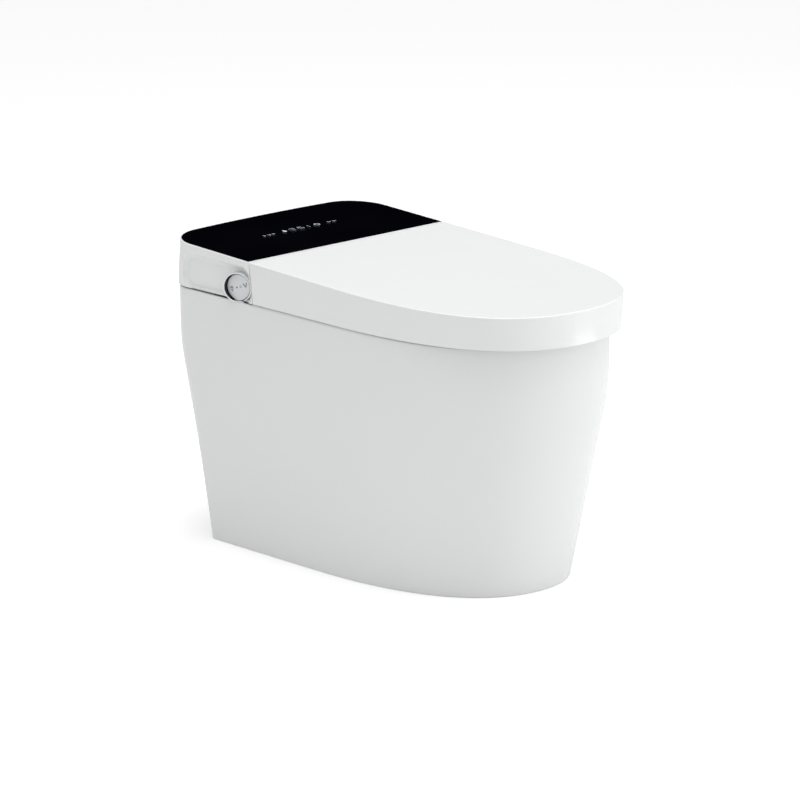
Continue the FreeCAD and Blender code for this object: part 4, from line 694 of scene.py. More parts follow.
def material_of(slot):
    """The material of a slot, made once."""
    for known in bpy.data.materials:
        if known.get("slot") == slot:
            return known
    made = MAKERS[slot]()
    made["slot"] = slot
    return made


def paint_frame():
    """Gives every CAD node that still shows the finish of its slot."""
    for part in frame["record"]["subparts"]:
        node = frame["nodes"][part["node"]]
        node.data.materials.clear()
        node.data.materials.append(material_of(part["material_slot"]))


# ---- ceramic ----

def taper_share(level):
    """How far the skirt has drawn in at a height: 0 at the rim, 1 on the floor."""
    def bend(depth):
        return (depth + math.hypot(depth, 2 * KINK_SOFT)) / 2

    start = bend(KINK_Z - RIM_Z)
    return (bend(KINK_Z - level) - start) / (bend(KINK_Z) - start)


def skirt_ring(level, inset=0.0):
    share = taper_share(max(level, 0.0))
    shape = mix(CERAMIC_RIM, CERAMIC_BASE, share)
    corner = CERAMIC_RIM.corner + (CERAMIC_BASE.corner - CERAMIC_RIM.corner) * share ** 1.5
    return outline_knots(inset_outline(shape._replace(corner=corner), inset)), flat_at(level)


def skirt_levels(low, high):
    """Levels that crowd together where the skirt bends."""
    bend = [KINK_Z + step * KINK_SOFT for step in (4, 2.8, 2, 1.4, 0.7, 0, -0.7, -1.4, -2, -4)]
    plain = [KINK_Z * share for share in (0.1, 0.3, 0.5, 0.65)]
    return sorted(level for level in bend + plain if low < level < high)


BOWL_CENTRE = -0.160
BOWL_HALF_WIDTH = 0.118
BOWL_HALF_LENGTH = 0.165
SUMP_Y = -0.150
SUMP_Z = 0.118
SUMP_HALF_WIDTH = 0.034
SUMP_HALF_LENGTH = 0.0391
BOWL_WALL = 0.012
# shares of the way from the sump to the rim: height, width, front and rear
BOWL_SHARES = [(0.0, 0.0, 0.0, 0.0), (0.16, 0.22, 0.25, 0.0), (0.45, 0.70, 0.76, 0.22),
               (0.78, 0.93, 0.97, 0.86), (1.0, 1.0, 1.0, 1.0)]


def smooth_between(points, steps):
    """Points on a smooth curve through the given ones."""
    ends = [points[0]] + points + [points[-1]]
    smooth = []
    for before, start, end, after in zip(ends, ends[1:], ends[2:], ends[3:]):
        for step in range(steps):
            share = step / steps
            smooth.append(tuple(
                b + 0.5 * share * (c - a + share * (2 * a - 5 * b + 4 * c - d
                                                    + share * (3 * (b - c) + d - a)))
                for a, b, c, d in zip(before, start, end, after)))
    return smooth + [points[-1]]


def bowl_ring(shares, wall, level):
    """An ellipse of the bowl, set out by a wall."""
    _, width, front_share, rear_share = shares
    half_width = SUMP_HALF_WIDTH + (BOWL_HALF_WIDTH - SUMP_HALF_WIDTH) * width
    front = (SUMP_Y - SUMP_HALF_LENGTH) * (1 - front_share) \
        + (BOWL_CENTRE - BOWL_HALF_LENGTH) * front_share
    rear = (SUMP_Y + SUMP_HALF_LENGTH) * (1 - rear_share) \
        + (BOWL_CENTRE + BOWL_HALF_LENGTH) * rear_share
    knots = ellipse_knots((front + rear) / 2, half_width + wall, (rear - front) / 2 + wall)
    return knots, flat_at(level)


def bowl_solid(wall, flare):
    """The inside of the bowl with a flared mouth, or with a wall its outside."""
    low = SUMP_Z - wall
    high = RIM_Z - flare
    rings = [bowl_ring(shares, wall, low + (high - low) * shares[0])
             for shares in smooth_between(BOWL_SHARES, 6)]
    if flare:
        rings += [bowl_ring(BOWL_SHARES[-1], inset, RIM_Z - drop)
                  for inset, drop in quarter_round(flare, 6)[1:]]
        rings.append(bowl_ring(BOWL_SHARES[-1], flare, RIM_Z + 0.005))
    return loft(rings, 24)


TRAP_BEND = 0.0375
TRAP_LOW = 0.095
TRAP_HIGH = 0.150
OUTLET_RADIUS = 0.045
OUTLET_DEPTH = 0.040
OUTLET_LIFT = 0.002


def trap_pipe(radius, extra=0.0):
    """The waste way: down from the sump, up over the weir and down to the outlet."""
    bend = TRAP_BEND
    arc = ARC_HANDLE * bend
    # place along y and z, heading along y and z, handle before and after
    stops = [
        (SUMP_Y, SUMP_Z + 0.012, 0, -1, 0.01, 0.01),
        (SUMP_Y, TRAP_LOW, 0, -1, 0.01, arc),
        (SUMP_Y + bend, TRAP_LOW - bend, 1, 0, arc, arc),
        (SUMP_Y + 2 * bend, TRAP_LOW, 0, 1, arc, 0.01),
        (SUMP_Y + 2 * bend, TRAP_HIGH, 0, 1, 0.01, arc),
        (-bend, TRAP_HIGH + bend, 1, 0, arc, arc),
        (0.0, TRAP_HIGH, 0, -1, arc, 0.02),
        (0.0, OUTLET_LIFT + OUTLET_DEPTH - extra, 0, -1, 0.02, 0.02),
    ]
    knots = []
    for along, height, turn_y, turn_z, before, after in stops:
        place = Vector((0, along, height))
        heading = Vector((0, turn_y, turn_z))
        knots.append((place, place - heading * before, place + heading * after))
    return pipe(knots, radius)


SKIRT_WALL = 0.011
RIM_THICK = 0.016
FIXING_X = 0.164
FIXING_HALF = 0.036
FIXING_FRONT = 0.120
FIXING_REAR = 0.170
FIXING_TOP = 0.066
TRAP_OUTER = 0.034
TRAP_BORE = 0.025
HORN_RADIUS = 0.056
HORN_TOP = 0.053
JET_BORE = 0.006
JET_START = (0.030, -0.019, 0.272)
JET_END = (0.030, -0.063, 0.272)
SERVICE_DOOR = ((-0.110, 0.1715, -0.001), (0.110, 0.6, 0.150))
WORKS_BAY = ((-0.150, 0.118, RIM_Z - 0.032), (0.150, 0.272, RIM_Z + 0.001))


def make_ceramic(settings):
    """Skirt, rim, bowl and waste way as the one fired piece that they are."""
    edge = settings.rim_round
    rings = [skirt_ring(0.0, 0.0015), skirt_ring(0.0005, 0.0005)]
    rings += [skirt_ring(level) for level in [0.0015] + skirt_levels(0.01, RIM_Z - 0.01)]
    for inset, drop in quarter_round(edge):
        knots, _ = skirt_ring(RIM_Z - edge, inset)
        rings.append((knots, flat_at(RIM_Z - drop)))
    body = loft(rings, 32)
    lugs = mirrored(lambda side: box(
        (side * FIXING_X - FIXING_HALF, FIXING_FRONT, 0.0001),
        (side * FIXING_X + FIXING_HALF, FIXING_REAR, FIXING_TOP)))
    boolean(lugs, body, "INTERSECT", keep=True)
    hollow = [skirt_ring(-0.001, SKIRT_WALL)]
    hollow += [skirt_ring(level, SKIRT_WALL) for level in skirt_levels(0.01, RIM_Z - 0.03)]
    hollow.append(skirt_ring(RIM_Z - RIM_THICK, SKIRT_WALL))
    boolean(body, loft(hollow, 16))
    boolean(body, lugs, "UNION")
    boolean(body, cut_plane(bowl_solid(BOWL_WALL, 0.0), (0, 0, RIM_Z - 0.006), (0, 0, 1)),
            "UNION")
    boolean(body, trap_pipe(TRAP_OUTER), "UNION")
    boolean(body, cylinder(HORN_RADIUS, (0, 0, OUTLET_LIFT), (0, 0, HORN_TOP)), "UNION")
    boolean(body, bowl_solid(0.0, settings.bowl_flare))
    boolean(body, trap_pipe(TRAP_BORE, 0.003))
    boolean(body, cylinder(OUTLET_RADIUS, (0, 0, -0.001), (0, 0, OUTLET_LIFT + OUTLET_DEPTH)))
    boolean(body, box(*SERVICE_DOOR))
    boolean(body, box(*WORKS_BAY))
    boolean(body, cylinder(JET_BORE, JET_START, JET_END, 32))
    return finish_piece(body, "ceramic_body", "toilet_base", "vitreous_china",
                        ("ceramic_rim", "ceramic_skirt", "ceramic_bowl", "ceramic_trapway"))


# ---- cover ----

SCOOP_FRONT_END = Vector((0.0, 0.115, 0.4155))
SCOOP_REAR_END = Vector((0.0, 0.220, 0.4180))
SCOOP_DEEP = 0.013
SCOOP_SHALLOW = 0.0080
SCOOP_REACH = 0.0225
SCOOP_HALF_TALL = 0.0345
SCOOP_SLOPE = 0.011
SCOOP_FOOT = 0.005
LEFT_WALL = -0.190
GLASS_THICK = 0.004
GLASS_INSET = 0.0016
GLASS_LIP = 0.0022
GLASS_GAP = 0.0002
POCKET_RISE = 0.004
COVER_FRONT = 0.080
COVER_LOW = RIM_Z + 0.0012
COVER_FOOT = 0.0006
SHELL_WALL = 0.004
DISH_WALL = ((-0.210, 0.086, COVER_LOW - 0.02), (-0.182, 0.250, 0.447))
HINGE_MOUTH = ((-0.089, 0.066, COVER_LOW - 0.001), (0.089, 0.104, 0.4348))
BOARD_POCKET = ((-0.104, 0.180, 0.438), (0.080, 0.204, 0.459))
KNOB_BORE_IN = 0.037
KNOB_BORE_OUT = 0.030
KNOB_AXIS = Vector((-math.cos(KNOB_TURN), -math.sin(KNOB_TURN), 0.0))
BEZEL_RADIUS = 0.0232


def ramp(value):
    """0 below 0 and 1 above 1, with soft ends."""
    share = min(1.0, max(0.0, value))
    return share * share * (3 - 2 * share)


def scoop_depth(along, height):
    """Depth of the slot-shaped dish in the left wall, deep at the knob and shallow behind it."""
    start = SCOOP_FRONT_END
    end = SCOOP_REAR_END
    share = min(1.0, max(0.0, (along - start.y) / (end.y - start.y)))
    centre = start.lerp(end, share)
    squeeze = SCOOP_HALF_TALL / SCOOP_REACH if along < start.y else 1.0
    away = math.hypot((along - centre.y) * squeeze, height - centre.z)
    deep = SCOOP_SHALLOW + (SCOOP_DEEP - SCOOP_SHALLOW) * (1 - share) ** 1.5
    return deep * ramp((SCOOP_HALF_TALL - away) / SCOOP_SLOPE) * ramp((height - RIM_Z) / SCOOP_FOOT)


def hollow_scoop(obj):
    """Presses the long soft dish round the knob into the left wall."""
    mesh = edit(obj)
    for vertex in mesh.verts:
        if vertex.co.x < LEFT_WALL:
            vertex.co.x += scoop_depth(vertex.co.y, vertex.co.z)
    return close(obj)


def glass_solid(gap, edge):
    """The panel's sheet; a gap makes the pocket that it lies in."""
    inset = GLASS_INSET - gap
    rings = [top_ring(inset, GLASS_THICK + gap / 2, COVER_FRONT)]
    if gap:
        rings.append(top_ring(inset, -POCKET_RISE, COVER_FRONT))
    else:
        rings += [top_ring(inset + step, drop, COVER_FRONT)
                  for step, drop in quarter_round(edge, 3)]
    sheet = loft(rings)
    cut_at_junction(sheet, True, GLASS_LIP - gap)
    return score_across(sheet)


def make_cover(settings):
    """Rear cover with its scoop, the glass's pocket, the knob's bore and its openings."""
    shell = shell_solid(COVER_LOW, settings.glass_round, COVER_FOOT, front=COVER_FRONT,
                        resolution=64, cuts=26)
    hollow_scoop(shell)
    cut_at_junction(shell, True)
    score_across(shell)
    room = cut_at_junction(shell_room(SHELL_WALL, GLASS_THICK + SHELL_WALL, COVER_LOW - 0.01),
                           True, SHELL_WALL)
    boolean(room, box(*DISH_WALL))
    boolean(shell, room)
    boolean(shell, glass_solid(GLASS_GAP, 0.0))
    boolean(shell, cylinder(BEZEL_RADIUS + GLASS_GAP, KNOB - KNOB_BORE_IN * KNOB_AXIS,
                            KNOB + KNOB_BORE_OUT * KNOB_AXIS, 128))
    boolean(shell, box(*HINGE_MOUTH))
    boolean(shell, box(*BOARD_POCKET))
    return finish_piece(shell, "rear_cover", "toilet_base", "white_shell", ("rear_cover",))


def make_glass(settings):
    """The black glass, flush in its pocket, with its edge broken."""
    return finish_piece(glass_solid(0.0, settings.glass_round), "glass_panel", "toilet_base",
                        "black_glass", ("glass_panel",), 20.0)


# ---- lid ----

SEAT_LUG_START = 0.097
SEAT_LUG_WIDE = 0.018
LID_LUG_WIDE = 0.014
LUG_SIDE_PLAY = 0.001
LID_WEB_RISE = 0.0025
LID_LOW = RIM_Z + 0.0013
LID_FOOT = 0.0008
LID_TOP_WALL = 0.003
SWING_OUTER = 0.0096
SWING_INNER = 0.0066
SEAM_GAP = 0.0018
SCORE_START = 0.0895
SCORE_STEP = 0.0012


def make_lid(settings):
    """Lid shell: hollow, crowned, rounded, with its two hinge lugs."""
    shell = shell_solid(LID_LOW, settings.shell_round, LID_FOOT, resolution=40, cuts=14)
    score_planes(shell, [(0, SCORE_START + step * SCORE_STEP, 0) for step in range(7)],
                 (0, 1, 0))
    hollow_scoop(shell)
    cut_at_junction(shell, False, -SEAM_GAP)
    boolean(shell, behind_hinge(SWING_OUTER))
    score_across(shell)
    room = shell_room(SHELL_WALL, LID_TOP_WALL, LID_LOW - 0.01)
    boolean(room, behind_hinge(SWING_INNER))
    boolean(shell, room)
    start = SEAT_LUG_START + SEAT_LUG_WIDE + LUG_SIDE_PLAY
    for left in (start, -start - LID_LUG_WIDE):
        right = left + LID_LUG_WIDE
        web = box((left, HINGE.y - 4 * LUG_RADIUS, HINGE.z - LUG_RADIUS),
                  (right, HINGE.y, HINGE.z + LID_WEB_RISE))
        add_hinge_eye(shell, left, right, web)
    return finish_piece(shell, "lid_shell", "lid", "white_shell", ("lid_shell",))


# ---- seat ----

SEAT = Outline(0.1905, 0.089, 0.010, -0.096, -0.4115, 0.652)
SEAT_LOW = RIM_Z + 0.0055
SEAT_SPLIT = SEAT_LOW + 0.004
SEAT_TOP = SEAT_LOW + 0.026
SEAT_WALL = 0.004
HOLE_CENTRE = -0.178
HOLE_HALF_WIDTH = 0.105
HOLE_HALF_LENGTH = 0.146
ARM_INNER = 0.097
BRIDGE_REAR = 0.027
SEAT_WEB_SHORT = 0.002
SEAT_WEB_ROUND = 0.0015
HOLE_ROUND = (0.009, 0.020)
HOLE_ROOM_ROUND = (0.013, 0.020)
ARM_ROUND = (0.004, 0.004)
ARM_ROOM_ROUND = (0.008, 0.004)
ARM_CORNER = 0.006
ARM_GAP_REAR = 0.2
TUNNEL = (-0.032, 0.088, 0.4165)
LINER = Outline(0.1929, 0.024, 0.008, -0.096, -0.4139, 0.652)
LINER_LOW = SEAT_TOP + 0.003
LINER_THICK = 0.0025
LINER_EDGE = 0.0012
SEAT_FOOT = 0.0018


def slab_knots(half_width, front, rear, corner):
    """Knots of a straight-sided outline with round corners, even about the middle plane."""
    pull = corner * (1 - ARC_HANDLE)
    knots = []
    for side, end, turn in ((1, front, 1), (1, rear, -1), (-1, rear, -1), (-1, front, 1)):
        wide = side * half_width
        along_end = (Vector((wide - side * corner, end, 0)), Vector((wide - side * pull, end, 0)))
        along_side = (Vector((wide, end + turn * corner, 0)), Vector((wide, end + turn * pull, 0)))
        first, second = (along_end, along_side) if side * turn > 0 else (along_side, along_end)
        knots += [first, second]
    whole = []
    for index, (place, handle) in enumerate(knots):
        if index % 2:
            after = place.lerp(knots[(index + 1) % 8][0], 1 / 3)
            whole.append((place, handle, after))
        else:
            before = place.lerp(knots[index - 1][0], 1 / 3)
            whole.append((place, before, handle))
    return whole


def flared(knots_of, low, top, deep=0.0, wide=0.0):
    """A cutter that opens out as it comes up through a top face."""
    rings = [(knots_of(0.0), flat_at(low)), (knots_of(0.0), flat_at(top - deep))]
    if deep:
        rings += [(knots_of(inset * wide / deep), flat_at(top - drop))
                  for inset, drop in quarter_round(deep, 7)[1:]]
    rings.append((knots_of(wide), flat_at(top + 0.005)))
    return loft(rings, 24)


def seat_hole(grow, low, top, *flare):
    return flared(lambda inset: ellipse_knots(HOLE_CENTRE, HOLE_HALF_WIDTH + grow + inset,
                                              HOLE_HALF_LENGTH + grow + inset),
                  low, top, *flare)


def arm_gap(grow, low, top, *flare):
    return flared(lambda inset: slab_knots(ARM_INNER + grow + inset, BRIDGE_REAR - grow - inset,
                                           ARM_GAP_REAR, ARM_CORNER), low, top, *flare)


def tunnel_room(grow):
    left, right, roof = TUNNEL
    return box((left - grow, HOLE_CENTRE, SEAT_LOW - 0.01),
               (right + grow, BRIDGE_REAR + 0.001, roof + grow))


def make_seat(settings):
    """Seat ring: a soft crest that falls into the hole, hollow, with two arms and their eyes."""
    crest = settings.seat_round
    rings = [(outline_knots(SEAT), flat_at(SEAT_SPLIT))]
    rings += [(outline_knots(inset_outline(SEAT, inset)), flat_at(SEAT_TOP - drop))
              for inset, drop in quarter_round(crest, 7)]
    ring = loft(rings, 32)
    boolean(ring, seat_hole(0.0, SEAT_LOW, SEAT_TOP, *HOLE_ROUND))
    boolean(ring, arm_gap(0.0, SEAT_LOW, SEAT_TOP, *ARM_ROUND))
    inner = inset_outline(SEAT, SEAT_WALL)
    room = loft([(outline_knots(inner), flat_at(SEAT_LOW)),
                 (outline_knots(inner), flat_at(SEAT_TOP - 2 * SEAT_WALL)),
                 (outline_knots(inset_outline(inner, SEAT_WALL)), flat_at(SEAT_TOP - SEAT_WALL))])
    boolean(room, seat_hole(SEAT_WALL, SEAT_LOW - 0.01, SEAT_TOP, *HOLE_ROOM_ROUND))
    boolean(room, arm_gap(SEAT_WALL, SEAT_LOW - 0.01, SEAT_TOP, *ARM_ROOM_ROUND))
    boolean(room, tunnel_room(SEAT_WALL))
    boolean(ring, room)
    boolean(ring, tunnel_room(0.0))
    for left in (ARM_INNER, -ARM_INNER - SEAT_LUG_WIDE):
        right = left + SEAT_LUG_WIDE
        web = box((left, HINGE.y - 3 * LUG_RADIUS, SEAT_TOP - SEAT_WALL),
                  (right, HINGE.y - SEAT_WEB_SHORT, HINGE.z))
        bevel_edges(web, sharp(60), SEAT_WEB_ROUND, 3)
        add_hinge_eye(ring, left, right, web)
    return finish_piece(ring, "seat_top", "seat", "seat_white", ("seat_top",))


def make_seat_base(settings):
    """Closing plate under the seat, its lower edge softened."""
    rings = [(outline_knots(inset_outline(SEAT, inset)), flat_at(SEAT_LOW + drop))
             for inset, drop in reversed(quarter_round(SEAT_FOOT, 3))]
    rings.append((outline_knots(SEAT), flat_at(SEAT_SPLIT)))
    plate = loft(rings, 32)
    boolean(plate, seat_hole(0.0, SEAT_LOW - 0.01, SEAT_TOP))
    boolean(plate, arm_gap(0.0, SEAT_LOW - 0.01, SEAT_TOP))
    boolean(plate, tunnel_room(0.0))
    return finish_piece(plate, "seat_base", "seat", "white_plastic", ("seat_base",))


def make_liner(settings):
    """Inner panel of the lid with a softened edge."""
    rings = [(outline_knots(inset_outline(LINER, inset)), flat_at(LINER_LOW + drop))
             for inset, drop in reversed(quarter_round(LINER_EDGE, 3))]
    rings.append((outline_knots(LINER), flat_at(LINER_LOW + LINER_THICK)))
    return finish_piece(loft(rings, 32), "lid_liner", "lid", "seat_white", ("lid_liner",))


# ---- knob ----

MOUTH_TURN = math.radians(24)
MOUTH_AXIS = Vector((-math.cos(MOUTH_TURN), -math.sin(MOUTH_TURN), 0.0))
MOUTH_PLACE = KNOB + 0.0035 * KNOB_AXIS
BEZEL_WALL = 0.0021
BEZEL_LIP_ROUND = 0.0009
BEZEL_FLOOR = -0.015
BEZEL_BACK = -0.017
BEZEL_REACH = 0.015
# Thin lining inside the cup that carries painted shade for its inner wall.
SHADE_LINING_THICK = 0.0003
SHADE_LINING_BACK = 0.0006
NECK_OUTER = 0.0078
NECK_BORE = 0.00485
NECK_BACK = -0.023
BEZEL_FOOT_Z = RIM_Z + 0.0022
BEZEL_FOOT = ((-0.1976, 0.06, BEZEL_FOOT_Z - 0.03), (-0.100, 0.18, BEZEL_FOOT_Z))
CAP_RADIUS = 0.0204
CAP_DEPTH = 0.011
CAP_FACE = 0.0025
CAP_SKIRT = 0.002
CAP_ROUND = 0.0015
CAP_BOSS = 0.0055
CAP_BORE = 0.003


def open_mouth(cup, place):
    """Cuts a cup off along the oblique mouth and over the ceramic's rim."""
    boolean(cup, cylinder(0.08, place, place + 0.04 * MOUTH_AXIS))
    boolean(cup, box(*BEZEL_FOOT))


def on_mouth(edge):
    return all(abs((end.co - MOUTH_PLACE).dot(MOUTH_AXIS)) < 0.00002 for end in edge.verts)


def make_bezel():
    """Chrome cup round the knob, deep at its rear and level with the cap in front; a thin dark lining
    inside it is painted shade.
    """
    outer = BEZEL_RADIUS
    inner = BEZEL_RADIUS - BEZEL_WALL
    bezel = lathe([(NECK_OUTER, BEZEL_BACK), (outer, BEZEL_BACK), (outer, BEZEL_REACH),
                   (inner, BEZEL_REACH), (inner, BEZEL_FLOOR - 0.0005),
                   (inner - 0.0005, BEZEL_FLOOR), (NECK_BORE, BEZEL_FLOOR),
                   (NECK_BORE, NECK_BACK), (NECK_OUTER, NECK_BACK)], KNOB, KNOB_AXIS, 128)
    boolean(bezel, cylinder(0.08, MOUTH_PLACE, MOUTH_PLACE + 0.04 * MOUTH_AXIS))
    bevel_edges(bezel, on_mouth, BEZEL_LIP_ROUND, 4)
    boolean(bezel, box(*BEZEL_FOOT))
    finish_piece(bezel, "knob_bezel", "toilet_base", "chrome_trim", ("knob_bezel",))
    # A thin lining inside the cup, in chrome darkened as painted shade: it stands in for the shade on
    # the cup's inner wall.
    skin = inner - SHADE_LINING_THICK
    shade_lining = lathe([(inner, -0.0148), (inner, BEZEL_REACH), (skin, BEZEL_REACH),
                    (skin, -0.0148)], KNOB, KNOB_AXIS, 128)
    open_mouth(shade_lining, MOUTH_PLACE - SHADE_LINING_BACK * MOUTH_AXIS)
    finish_piece(shade_lining, "knob_bezel_sleeve", "toilet_base", "dark_plastic", (), 32.0,
                 "smoked_chrome")


def make_cap():
    """The turned cap: a thin face with a rounded edge, a skirt and a boss for the shaft."""
    edge = [(CAP_RADIUS - inset, -drop) for inset, drop in reversed(quarter_round(CAP_ROUND, 5))]
    cap = lathe([(0.0, 0.0)] + edge +
                [(CAP_RADIUS, -CAP_DEPTH), (CAP_RADIUS - CAP_SKIRT, -CAP_DEPTH),
                 (CAP_RADIUS - CAP_SKIRT, -CAP_FACE), (CAP_BOSS, -CAP_FACE),
                 (CAP_BOSS, -CAP_DEPTH), (CAP_BORE, -CAP_DEPTH), (CAP_BORE, -CAP_FACE),
                 (0.0, -CAP_FACE)], KNOB, KNOB_AXIS, 128)
    finish_piece(cap, "knob_cap", "knob", "satin_silver", ("knob_cap",))


# ---- flat marks ----

MARK_HALF_THICK = 0.00002

def circle_knots(x, y, radius):
    arc = ARC_HANDLE * radius
    corners = [((radius, 0), (0, arc)), ((0, radius), (-arc, 0)),
               ((-radius, 0), (0, -arc)), ((0, -radius), (arc, 0))]
    return [(Vector((x + px, y + py, 0)), Vector((x + px - tx, y + py - ty, 0)),
             Vector((x + px + tx, y + py + ty, 0))) for (px, py), (tx, ty) in corners]


def bar_knots(x, y, wide, tall, turn=0.0):
    """A straight bar, turned about its middle."""
    spin = Matrix.Rotation(turn, 3, "Z")
    middle = Vector((x, y, 0))
    corners = [middle + spin @ Vector((sx * wide / 2, sy * tall / 2, 0))
               for sx, sy in ((-1, -1), (1, -1), (1, 1), (-1, 1))]
    knots = []
    for index, corner in enumerate(corners):
        before = corners[index - 1]
        after = corners[(index + 1) % 4]
        knots.append((corner, corner.lerp(before, 0.33), corner.lerp(after, 0.33)))
    return knots


def drop_knots(x, y, tall):
    """A water drop with its tip up."""
    half = 0.31 * tall
    tip = Vector((x, y + tall / 2, 0))
    side = Vector((half, 0, 0))
    belly = Vector((x, y - 0.19 * tall, 0))
    foot = belly - Vector((0, half, 0))
    arc = ARC_HANDLE * half
    rise = Vector((0, arc, 0))
    return [(tip, tip + Vector((-0.1 * half, -0.3 * half, 0)),
             tip + Vector((0.1 * half, -0.3 * half, 0))),
            (belly + side, belly + side + rise * 1.1, belly + side - rise),
            (foot, foot + Vector((arc, 0, 0)), foot - Vector((arc, 0, 0))),
            (belly - side, belly - side - rise, belly - side + rise * 1.1)]


def flat_mark(outlines, lay):
    """Fills flat outlines, an outline inside another being a hole, and lays them in place."""
    drawing = start_curve(bpy.ops.curve.primitive_bezier_circle_add, "2D")
    drawing.data.fill_mode = "BOTH"
    drawing.data.extrude = MARK_HALF_THICK
    for knots in outlines:
        add_run(drawing, knots, 10)
    bpy.ops.object.convert(target="MESH")
    mark = bpy.context.object
    for vertex in mark.data.vertices:
        vertex.co = lay(vertex.co)
    return mark


SEGMENTS = {"top": (0.0, 1.0, True), "middle": (0.0, 0.0, True), "bottom": (0.0, -1.0, True),
            "top_left": (-1.0, 0.5, False), "top_right": (1.0, 0.5, False),
            "low_left": (-1.0, -0.5, False), "low_right": (1.0, -0.5, False)}
DIGITS = {"3": ("top", "middle", "bottom", "top_right", "low_right"),
          "5": ("top", "middle", "bottom", "top_left", "low_right"),
          "1": ("top_right", "low_right")}


def digit_bars(digit, x, y, wide, tall, line):
    """The bars of one seven-segment digit."""
    bars = []
    for name in DIGITS[digit]:
        across, up, level = SEGMENTS[name]
        size = (wide - 1.4 * line, line) if level else (line, tall / 2 - 0.7 * line)
        bars.append(bar_knots(x + across * (wide - line) / 2, y + up * (tall - line) / 2, *size))
    return bars


GLASS_MARK_LIFT = 0.00003
MARK_ROW = 0.193


def on_glass(place):
    """Just over the glass, which lies along the crowned top."""
    return on_top(-GLASS_MARK_LIFT - place.z)(Vector((place.x, place.y, 0)))


def make_display_marks(settings):
    """Generic marks of the panel: two groups of small keys, a drop, digits and a ring."""
    depth = settings.mark_depth
    row = MARK_ROW
    marks = {
        "display_keys_left": [bar_knots(-0.083, row, 0.0010, depth * 0.6),
                              bar_knots(-0.083, row - 0.003, 0.004, 0.0010),
                              bar_knots(-0.075, row - 0.002, 0.0010, depth * 0.5, 0.4),
                              bar_knots(-0.072, row - 0.002, 0.0010, depth * 0.5, -0.4),
                              bar_knots(-0.065, row, 0.005, 0.0009),
                              bar_knots(-0.065, row - 0.003, 0.005, 0.0009)],
        "display_drop": [drop_knots(-0.041, row + 0.001, depth)],
        "display_digits": digit_bars("3", -0.025, row, 0.009, depth, 0.0008)
        + digit_bars("5", -0.008, row, 0.009, depth, 0.0008)
        + digit_bars("1", 0.006, row, 0.005, depth, 0.0008),
        "display_ring": [circle_knots(0.026, row + 0.001, depth / 2),
                         circle_knots(0.026, row + 0.001, depth / 2 - 0.0012)],
        "display_keys_right": [bar_knots(0.050, row + 0.002, 0.0010, depth * 0.6),
                               bar_knots(0.054, row + 0.002, 0.005, 0.0010, 0.5),
                               bar_knots(0.062, row + 0.003, 0.006, 0.0009),
                               bar_knots(0.062, row, 0.006, 0.0009)],
    }
    for name, outlines in marks.items():
        mark = flat_mark(outlines, on_glass)
        finish_piece(mark, name, "toilet_base", "black_glass", (), 20.0, "display_light")


MARK_TURN = math.radians(19)
KNOB_MARK_LIFT = 0.00005


def on_knob(place):
    """Just over the knob's face; x runs towards the front and y up before the marks' turn."""
    along = Vector((math.sin(KNOB_TURN), -math.cos(KNOB_TURN), 0))
    turned = Matrix.Rotation(MARK_TURN, 3, "Z") @ place
    return KNOB + along * turned.x + Vector((0, 0, turned.y)) + KNOB_AXIS * (place.z + KNOB_MARK_LIFT)


def make_knob_marks():
    """A hollow drop, a dot, a small ring and a chevron printed on the knob's face."""
    marks = {
        "knob_mark_left": [drop_knots(-0.012, 0.0, -0.0085), drop_knots(-0.012, 0.0, -0.0042)],
        "knob_mark_dot": [circle_knots(-0.0028, 0.0002, 0.0014)],
        "knob_mark_ring": [circle_knots(0.0042, 0.0, 0.0017), circle_knots(0.0042, 0.0, 0.0011)],
        "knob_mark_right": [bar_knots(0.0115, 0.0, 0.0016, 0.0075, 0.45),
                            bar_knots(0.0146, 0.0, 0.0016, 0.0075, -0.45)],
    }
    for name, outlines in marks.items():
        mark = flat_mark(outlines, on_knob)
        finish_piece(mark, name, "knob", "satin_silver", (), 20.0, "printed_grey")


# ---- stage ----

CAMERA_PLACE = Vector((-5.5117, -5.9411, 2.3550))
CAMERA_TARGET = Vector((-0.01912, -0.04101, 0.240))
LENS = 249.57
SENSOR_WIDE = 36.0
PIECE_MIDDLE = (0, -0.05, 0.25)
OVERHEAD_PLACE = (0.3, -0.2, 2.6)
OVERHEAD_SIZE = (2.4, 2.4)
SIDE_PLACE = (1.6, -2.2, 0.9)
SIDE_SIZE = (1.0, 1.8)
FLOOR_SIZE = 24


def aim(obj, place, target):
    obj.location = place
    obj.rotation_mode = "QUATERNION"
    obj.rotation_quaternion = (Vector(target) - Vector(place)).to_track_quat("-Z", "Y")


def add_area(name, place, size, power):
    """A rectangular light that faces the middle of the piece."""
    bpy.ops.object.select_all(action="DESELECT")
    bpy.ops.object.light_add(type="AREA")
    lamp = bpy.context.object
    lamp.name = name
    lamp.data.shape = "RECTANGLE"
    lamp.data.size, lamp.data.size_y = size
    lamp.data.energy = power
    aim(lamp, place, PIECE_MIDDLE)
    return lamp


def pale_floor():
    # Matt pale paper that the camera sees as white where no shadow falls.
    material, tree, shader = finish("pale studio paper", "#F2F2F2", 0.9, 1.45)
    shader.inputs["Specular IOR Level"].default_value = 0.0
    ray = add_node(tree, "ShaderNodeLightPath")
    lift = add_node(tree, "ShaderNodeMath", {0: ray.outputs["Is Camera Ray"], 1: 0.3},
                    operation="MULTIPLY")
    shader.inputs["Emission Color"].default_value = (1, 1, 1, 1)
    tree.links.new(lift.outputs["Value"], shader.inputs["Emission Strength"])
    return material


FLAG_SIDE = Vector((0.643, 0.690, 0.330)).normalized()


